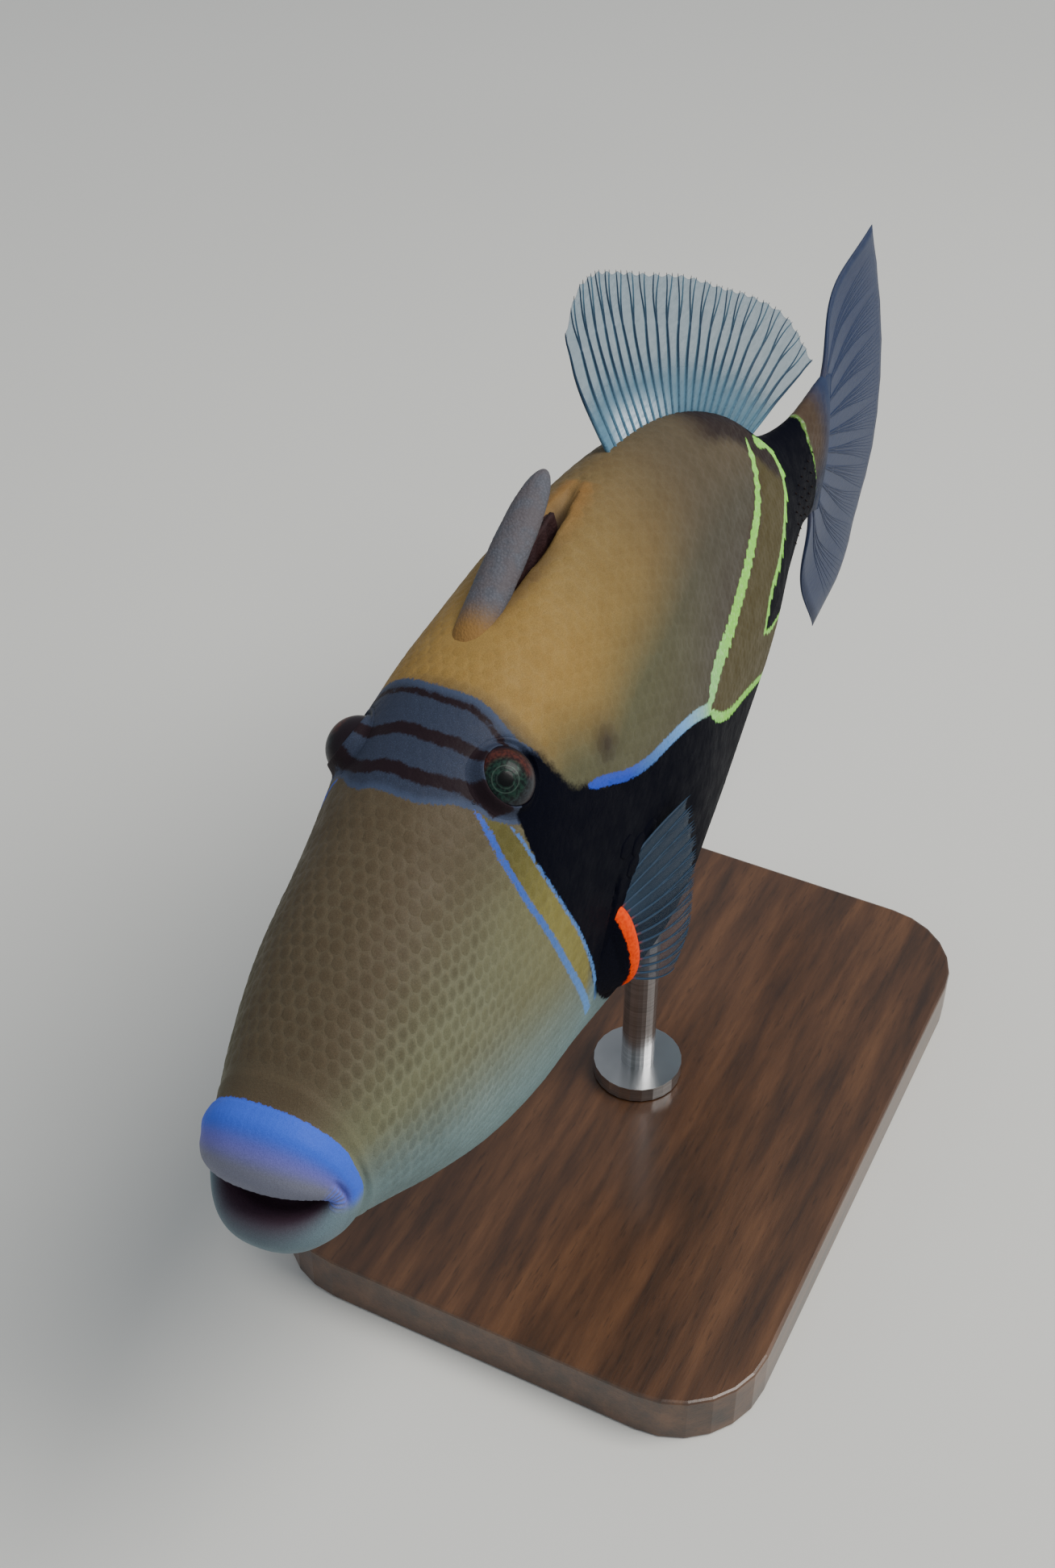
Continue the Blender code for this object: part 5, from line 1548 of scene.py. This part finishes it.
def pectoral_axes():
    """Middle of the left pectoral base, and its directions down and outwards."""
    top, bottom = np.array(PECTORAL_ROOT_TOP), np.array(PECTORAL_ROOT_BOTTOM)
    straight = unit(bottom - top)
    rear = unit(np.array(PECTORAL_REAR))
    down = unit(straight + PECTORAL_LEAN * rear)
    out = unit(rear - PECTORAL_LEAN * straight)
    return (top + bottom) / 2 + PECTORAL_SHIFT[0] * down + PECTORAL_SHIFT[1] * out, down, out


def pectoral_place(side):
    """Fan of a pectoral fin: its rays leave the edge of the fleshy base from its top to its foot."""
    middle, down, out = pectoral_axes()

    def place(t, r):
        t, r = np.broadcast_arrays(np.asarray(t, float), np.asarray(r, float))
        turn = np.radians(PECTORAL_FAN[0] + (PECTORAL_FAN[1] - PECTORAL_FAN[0]) * t)
        root = (middle + out * (PECTORAL_LOBE[0] * 0.85 * np.cos(turn))[..., None]
                + down * (PECTORAL_LOBE[1] * 0.94 * np.sin(turn))[..., None])
        tip = along(*(curve(PECTORAL_TIPS["at"], PECTORAL_TIPS[key], t) for key in "xyz"))
        early = (1 - t) ** 2
        bend = (root + tip) / 2 + along(-5.6 * early, -1.6 + 1.6 * early, 4.2 * early - 1.7 * t)
        r = r[..., None]
        point = root * (1 - r) ** 2 + bend * 2 * r * (1 - r) + tip * r * r
        return point * (1.0, -side, 1.0)
    return place


def sheet_normals(place, t, r):
    by_t = place(t + 0.004, r) - place(t - 0.004, r)
    by_r = place(t, r + 0.004) - place(t, r - 0.004)
    return unit(np.cross(by_t, by_r))


def fin_web(place, rays, rows, thickness, root, reach, notch, ruffle=0.1):
    """Clear web from a root share to its reach along the rays, with shallow notches between them."""
    columns = (rays - 1) * 4 + 1
    t = np.linspace(0.0, 1.0, columns)
    edge = reach - notch * np.abs(np.sin(math.pi * t * (rays - 1)))
    r = root + (edge - root)[None, :] * np.linspace(0.0, 1.0, rows)[:, None]
    t = np.broadcast_to(t, r.shape)
    shape = Shape()
    wave = ruffle * np.sin(2 * math.pi * t * (rays - 1)) * np.clip(r, 0, 1)
    normal = sheet_normals(place, t, r)
    thin_sheet(shape, place(t, r) + normal * wave[..., None], normal, np.full(r.shape, thickness),
               reach=r, span=t)
    return shape


def ray_branches(middle, step, forks, spread, level=0, start=0.0, offset=None):
    """Each stretch of a ray that parts in two at every fork: its start, end, level and course."""
    offset = offset or (lambda r: 0.0 * r)
    end = forks[level] if level < len(forks) else 1.0
    yield start, end, level, (lambda r: middle + step * offset(r))
    if level < len(forks):
        for way in (-1, 1):
            def parted(r, way=way):
                share = np.clip((r - end + 0.02) / (1 - end), 0.0, 1.0)
                return offset(r) + way * spread * 0.5 ** level * share ** 0.85
            yield from ray_branches(middle, step, forks, spread, level + 1, end - 0.02, parted)


def fin_rays(shape, place, rays, radius, forks, spread, start=-0.05, wave=0.0, ends=1.0, lead=1.25):
    """Tapered rays that part into finer branches at their forks. The first is thicker by its lead."""
    step = 1 / (rays - 1)
    for i in range(rays):
        middle = i * step
        outer = i in (0, rays - 1)
        for low, high, level, follow in ray_branches(middle, step, () if outer else forks, spread):
            low = start if level == 0 else low
            high = ends if high == 1.0 else high + 0.015
            r = np.linspace(low, high, max(5, int(30 * (high - low))))
            span = follow(r) + wave * step * np.sin(r * 11 + i * 1.7) * np.clip(r, 0, 1)
            line = place(span, r)
            normal = sheet_normals(place, span, r)
            width = np.maximum(radius * (1 - 0.7 * np.clip(r, 0, 1)) * 0.8 ** level, 0.075)
            width = width * (1 + (lead - 1) * (i == 0) * (1 - smooth(r, 0.15, 0.6)))
            width[-1] *= 0.35
            tube(shape, line, width, across=normal.mean(0), reach=r, span=span)


def web_material(name, colour, clear, root, front_highlight=None, turn=(0.0, 0.3), fade=None):
    """Thin web, denser at its root, with a painted highlight near its front root where one is given,
    and clearer behind its fade.
    """
    p = Paint(name, 0.4, Specular_IOR_Level=0.25)
    reach = p.value("reach")
    streak = p.noise(0.6, 3.0, stretch=(1.0, 1.0, 3.0))
    tone = p.mix(p.step(p.shifted(reach, streak, 0.16), *turn), root, colour)
    tone = p.mix(p.step(streak, 0.35, 0.75, 0.0, 0.5), tone, times(colour, 0.6))
    body = p.step(reach, 0.02, 0.45, min(clear + 0.5, 0.95), clear)
    if fade is not None:
        body = p.math("MULTIPLY", body, p.step(p.value("span"), *fade, 1.0, 0.3))
    # Painted highlight: a pale glow over the web near the root of the front rays
    if front_highlight is not None:
        span = p.value("span")
        front = p.math("MULTIPLY", p.step(span, 0.02, 0.12), p.step(span, 0.22, 0.5, 1.0, 0.0))
        front = p.math("MULTIPLY", front, p.step(reach, 0.0, 0.22, 1.0, 0.0))
        tone = p.mix(p.math("MULTIPLY", front, p.step(streak, 0.3, 0.6, 0.45, 1.0)), tone, front_highlight)
    p.set(Base_Color=tone, Alpha=p.math("MULTIPLY_ADD", streak, 0.16, body, clamp=True),
          Normal=p.bump(streak, 0.3, 0.2))
    return p.material


def ray_material(name, low, high, turn=(0.05, 0.4), lead=None):
    """Bony rays that change colour outwards from their roots, the first with one of its own."""
    p = Paint(name, 0.5, Specular_IOR_Level=0.2)
    reach = p.value("reach")
    grain = p.noise(3.0, 3.0)
    tone = p.mix(p.step(reach, *turn), low, high)
    if lead is not None:
        first = p.math("MULTIPLY", p.step(p.value("span"), 0.01, 0.05, 1.0, 0.0),
                       p.step(reach, 0.2, 0.6, 1.0, 0.0))
        tone = p.mix(first, tone, lead)
    tone = p.mix(p.step(grain, 0.4, 0.7, 0.0, 0.5), tone, times(high, 1.5))
    p.set(Base_Color=tone, Normal=p.bump(grain, 0.25, 0.1))
    return p.material


def build_unpaired_fins(body, colours):
    thickness = body.web_thickness / MM
    web = web_material("web", colours.web, 0.34, times(colours.web, 1.1), colours.front_highlight)
    ray = ray_material("ray", times(colours.web, 0.8), colours.ray)
    for name, place, rays in (
            ("dorsal_fin", unpaired_place(DORSAL_ROOT_X, back_z, 1, DORSAL_TIPS), DORSAL_RAYS),
            ("anal_fin", unpaired_place(ANAL_ROOT_X, belly_z, -1, ANAL_TIPS), ANAL_RAYS)):
        sheet = fin_web(place, rays, 26, thickness, -0.09, 0.955, 0.025)
        sheet.finish(f"{name}_web", web, (name,), "fin")
        bones = Shape()
        fin_rays(bones, place, rays, 0.34, (0.6,), 0.22, start=-0.09, wave=0.09, ends=0.965, lead=1.0)
        bones.finish(f"{name}_rays", ray, (name,), "fin")


def build_tail_fin(body, colours):
    thickness = body.web_thickness / MM
    tail = np.array(colours.tail)
    root = tail * 0.6 + times(colours.rust, 0.4)
    web = web_material("tail_web", tail, 0.78, root, turn=(0.0, 0.16))
    ray = ray_material("tail_ray", root, tail * 0.72, (0.0, 0.2))
    sheet = fin_web(caudal_place, CAUDAL_RAYS, 34, thickness, -0.06, 0.99, 0.008, 0.0)
    sheet.finish("caudal_fin_web", web, ("caudal_fin",), "fin")
    bones = Shape()
    fin_rays(bones, caudal_place, CAUDAL_RAYS, 0.42, CAUDAL_FORKS, 0.25, start=-0.08, wave=0.02,
             ends=0.985)
    bones.finish("caudal_fin_rays", ray, ("caudal_fin",), "fin")


def build_pectoral_fins(body, colours):
    thickness = body.web_thickness / MM
    dense = times(colours.ray, 0.9)
    web = web_material("pectoral_web", dense, 0.6, dense, fade=(0.3, 0.5))
    ray = ray_material("pectoral_ray", times(colours.orange, 0.25), times(colours.ray, 1.1),
                       (0.02, 0.12), paint(92, 90, 104))
    pad = pad_material(colours)
    for name, side in (("left", -1), ("right", 1)):
        node = f"pectoral_fin_{name}"
        place = pectoral_place(side)
        sheet = fin_web(place, PECTORAL_RAYS, 24, thickness, 0.02, 0.97, 0.03)
        sheet.finish(f"{node}_web", web, (node,), "fin")
        bones = Shape()
        fin_rays(bones, place, PECTORAL_RAYS, 0.24, (0.5, 0.78), 0.2, start=0.0, lead=2.2)
        bones.finish(f"{node}_rays", ray, (node,), "fin")
        base = Shape()
        rings, rim = pad_rings(side)
        closed_loft(base, rings, rim=rim)
        base.finish(f"{node}_base", pad, (node,), "fin")


def pad_rings(side, sides=48):
    """Fleshy base of a pectoral fin, and how far out places on it lie: its orange starts at 0."""
    middle, down, out = pectoral_axes()
    across = np.cross(down, out)
    long, tall = PECTORAL_LOBE
    inner = 0.3
    share = np.linspace(0.0, 1.0, 40)
    lean = math.radians(88.0) * np.clip((share - inner) / (1 - inner), 0.0, 1.0)
    reach = np.where(share < inner, -4.0 * (1 - share / inner), long * np.sin(lean))
    size = tall * np.cos(lean) ** 0.85
    plump = np.where(share < inner, 2.2 + 1.4 * (1 - share / inner), 2.2 * np.cos(lean) ** 0.6)
    turn = 2 * math.pi * np.arange(sides) / sides
    height = size[:, None] * np.cos(turn)
    rings = (middle + out * reach[:, None, None] + down * height[..., None]
             + across * (plump[:, None] * np.sin(turn))[..., None])
    reach = reach[:, None]
    rim = np.hypot((reach + 0.9) / 2.8, height / 7.2) - 1 - 2 * smooth(-reach, 0.5, 1.4)
    ends = [rim[0].mean(), rim[-1].mean()]
    return rings * (1.0, -side, 1.0), np.concatenate((rim.ravel(), ends))


def pad_material(colours):
    """Black lobe with an orange crescent where the rays leave it."""
    p = Paint("pectoral_base", 0.6, Specular_IOR_Level=0.04)
    grain = p.noise(2.0, 3.0)
    fine = p.noise(8.0, 2.0)
    orange = p.mix(p.step(grain, 0.35, 0.7), colours.orange, times(colours.orange, (0.8, 0.5, 0.6)))
    black = p.mix(p.step(fine, 0.45, 0.7), colours.black, times(colours.black, 2.4))
    colour = p.mix(p.step(p.shifted(p.value("rim"), grain, 0.3), -0.03, 0.05), black, orange)
    p.set(Base_Color=colour, Normal=p.bump(grain, 0.3, 0.3))
    return p.material


def build_nostrils(colours):
    """Two small rimmed openings in front of each eye."""
    shape = Shape()
    turn = 2 * math.pi * np.arange(16) / 16
    for side in (-1, 1):
        for x, z in NOSTRILS:
            place, ahead, up, out = side_axes(x, z, side)
            flat = np.cos(turn)[:, None] * ahead + np.sin(turn)[:, None] * up
            rings = [place + flat * radius + out * rise for radius, rise in NOSTRIL_PROFILE]
            closed_loft(shape, rings)
    shape.finish("nostrils", spine_material("nostril", times(colours.band, 0.8)))


# Stand and stage

def stand_materials():
    wood = Paint("dark_wood", 0.35, Coat_Weight=0.25, Coat_Roughness=0.2)
    place = wood.own_place(WOOD_STRETCH)
    ringed = wood.noise(1.6, 6.0, 0.62, place)
    pores = wood.noise(14.0, 3.0, 0.6, place)
    tone = wood.ramp(ringed, (0.3, paint(46, 30, 20)), (0.5, paint(74, 48, 30)),
                     (0.72, paint(98, 66, 42)))
    tone = wood.mix(wood.step(pores, 0.55, 0.75, 0.0, 0.5), tone, paint(28, 18, 12))
    wood.set(Base_Color=tone, Normal=wood.bump(pores, 0.15, 0.2))
    metal = Paint("brushed_steel", 0.28, Metallic=1.0)
    brush = metal.noise(1.0, 3.0, 0.6, metal.own_place(STEEL_STRETCH))
    tone = metal.mix(metal.step(brush, 0.3, 0.7), paint(168, 170, 172), paint(196, 197, 198))
    metal.set(Base_Color=tone, Normal=metal.bump(brush, 0.15, 0.05))
    return wood.material, metal.material


def build_floor(stage):
    mesh = bpy.data.meshes.new("floor")
    line = np.linspace(-FLOOR_SIZE / 2, FLOOR_SIZE / 2, FLOOR_STEPS)
    x, y = np.meshgrid(line, line, indexing="ij")
    places = along(x, y, 0.0).reshape(-1, 3)
    mesh.from_pydata(places.tolist(), [], grid_faces(FLOOR_STEPS, FLOOR_STEPS))
    p = Paint("floor", 0.7, Specular_IOR_Level=0.2)
    cloud = p.noise(3.0, 3.0, 0.5, p.own_place())
    p.set(Base_Color=p.mix(p.step(cloud, 0.3, 0.7), stage.floor, times(stage.floor, 0.97)))
    mesh.materials.append(p.material)
    floor = bpy.data.objects.new("floor", mesh)
    bpy.context.scene.collection.objects.link(floor)


def add_light(name, power, size, place, colour):
    """Large soft light that faces the fish."""
    light = bpy.data.lights.new(name, "AREA")
    light.energy = power
    light.size = size
    light.color = colour
    thing = bpy.data.objects.new(name, light)
    thing.location = place
    thing.rotation_euler = (Vector(LIT) - Vector(place)).to_track_quat("-Z", "Y").to_euler()
    bpy.context.scene.collection.objects.link(thing)


def build_sky(stage):
    world = bpy.data.worlds.new("sky")
    world.use_nodes = True
    sky = world.node_tree.nodes["Background"]
    sky.inputs["Color"].default_value = (*SKY_COLOUR, 1.0)
    sky.inputs["Strength"].default_value = stage.sky
    bpy.context.scene.world = world


def build_camera():
    data = bpy.data.cameras.new("camera")
    data.lens = CAMERA_LENS
    data.sensor_width = 36.0
    data.clip_start = 0.01
    data.clip_end = 20.0
    camera = bpy.data.objects.new("camera", data)
    camera.location = Vector(CAMERA_AT) * MM
    camera.rotation_euler = Vector(CAMERA_AIM).to_track_quat("-Z", "Y").to_euler()
    bpy.context.scene.collection.objects.link(camera)
    bpy.context.scene.camera = camera


# Operators and panel

@cache
def shared_map():
    """The body's even places, worked out once and kept while the pieces are built."""
    return BodyMap()


class TRIGGERFISH_OT_skin(bpy.types.Operator):
    """Skin of the head, body, lips and tail root in one piece"""
    bl_idname = "triggerfish.skin"
    bl_label = "Skin"

    def execute(self, context):
        scene = context.scene
        build_skin(scene.triggerfish_body, scene.triggerfish_colours, shared_map())
        return {"FINISHED"}


class TRIGGERFISH_OT_plates(bpy.types.Operator):
    """Mosaic of plates over the skin"""
    bl_idname = "triggerfish.plates"
    bl_label = "Plates"

    def execute(self, context):
        scene = context.scene
        build_plates(scene.triggerfish_body, scene.triggerfish_colours, shared_map())
        return {"FINISHED"}


class TRIGGERFISH_OT_eyes(bpy.types.Operator):
    """Eyes, lids and nostrils"""
    bl_idname = "triggerfish.eyes"
    bl_label = "Eyes"

    def execute(self, context):
        build_eyes(context.scene.triggerfish_colours)
        build_nostrils(context.scene.triggerfish_colours)
        return {"FINISHED"}


class TRIGGERFISH_OT_spines(bpy.types.Operator):
    """Dorsal spines and web, pelvic knob, scutes and spinules"""
    bl_idname = "triggerfish.spines"
    bl_label = "Spines"

    def execute(self, context):
        colours = context.scene.triggerfish_colours
        build_spines(colours)
        build_pelvic_knob(colours)
        build_scutes(colours)
        build_spinules()
        return {"FINISHED"}


class TRIGGERFISH_OT_fins(bpy.types.Operator):
    """Soft dorsal, anal, tail and pectoral fins"""
    bl_idname = "triggerfish.fins"
    bl_label = "Fins"

    def execute(self, context):
        body, colours = context.scene.triggerfish_body, context.scene.triggerfish_colours
        build_unpaired_fins(body, colours)
        build_tail_fin(body, colours)
        build_pectoral_fins(body, colours)
        return {"FINISHED"}


class TRIGGERFISH_OT_stand(bpy.types.Operator):
    """Finish of the stand's base and rod"""
    bl_idname = "triggerfish.stand"
    bl_label = "Stand"

    def execute(self, context):
        wood, metal = stand_materials()
        for node, material, slot in (("stand_base", wood, "base_wood"),
                                     ("stand_rod", metal, "rod_metal")):
            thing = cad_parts[node]
            thing.data.materials.clear()
            thing.data.materials.append(material)
        return {"FINISHED"}


class TRIGGERFISH_OT_stage(bpy.types.Operator):
    """Floor, soft lights, sky and camera"""
    bl_idname = "triggerfish.stage"
    bl_label = "Stage"

    def execute(self, context):
        stage = context.scene.triggerfish_stage
        build_floor(stage)
        add_light("key", stage.key_power, **KEY_LIGHT)
        add_light("fill", stage.fill_power, **FILL_LIGHT)
        build_sky(stage)
        build_camera()
        return {"FINISHED"}


class TRIGGERFISH_PT_panel(bpy.types.Panel):
    """Everything that makes the fish"""
    bl_idname = "TRIGGERFISH_PT_panel"
    bl_label = "Reef Triggerfish"
    bl_space_type = "VIEW_3D"
    bl_region_type = "UI"
    bl_category = "Triggerfish"

    def draw(self, context):
        for operator in OPERATORS:
            self.layout.operator(operator.bl_idname)
        for group in ("triggerfish_body", "triggerfish_colours", "triggerfish_stage"):
            settings = getattr(context.scene, group)
            box = self.layout.box()
            for key in settings.__annotations__:
                box.prop(settings, key)


SETTINGS = {
    "triggerfish_body": TriggerfishBody,
    "triggerfish_colours": TriggerfishColours,
    "triggerfish_stage": TriggerfishStage,
}
OPERATORS = (TRIGGERFISH_OT_skin, TRIGGERFISH_OT_plates, TRIGGERFISH_OT_eyes, TRIGGERFISH_OT_spines,
             TRIGGERFISH_OT_fins, TRIGGERFISH_OT_stand, TRIGGERFISH_OT_stage)


def register():
    for group in SETTINGS.values():
        bpy.utils.register_class(group)
    for name, group in SETTINGS.items():
        setattr(bpy.types.Scene, name, bpy.props.PointerProperty(type=group))
    for operator in OPERATORS:
        bpy.utils.register_class(operator)
    bpy.utils.register_class(TRIGGERFISH_PT_panel)


def unregister():
    bpy.utils.unregister_class(TRIGGERFISH_PT_panel)
    for operator in reversed(OPERATORS):
        bpy.utils.unregister_class(operator)
    for name in SETTINGS:
        delattr(bpy.types.Scene, name)
    for group in SETTINGS.values():
        bpy.utils.unregister_class(group)


def main():
    register()
    bpy.ops.triggerfish.skin()
    bpy.ops.triggerfish.plates()
    bpy.ops.triggerfish.eyes()
    bpy.ops.triggerfish.spines()
    bpy.ops.triggerfish.fins()
    bpy.ops.triggerfish.stand()
    bpy.ops.triggerfish.stage()


if __name__ == "__main__":
    main()
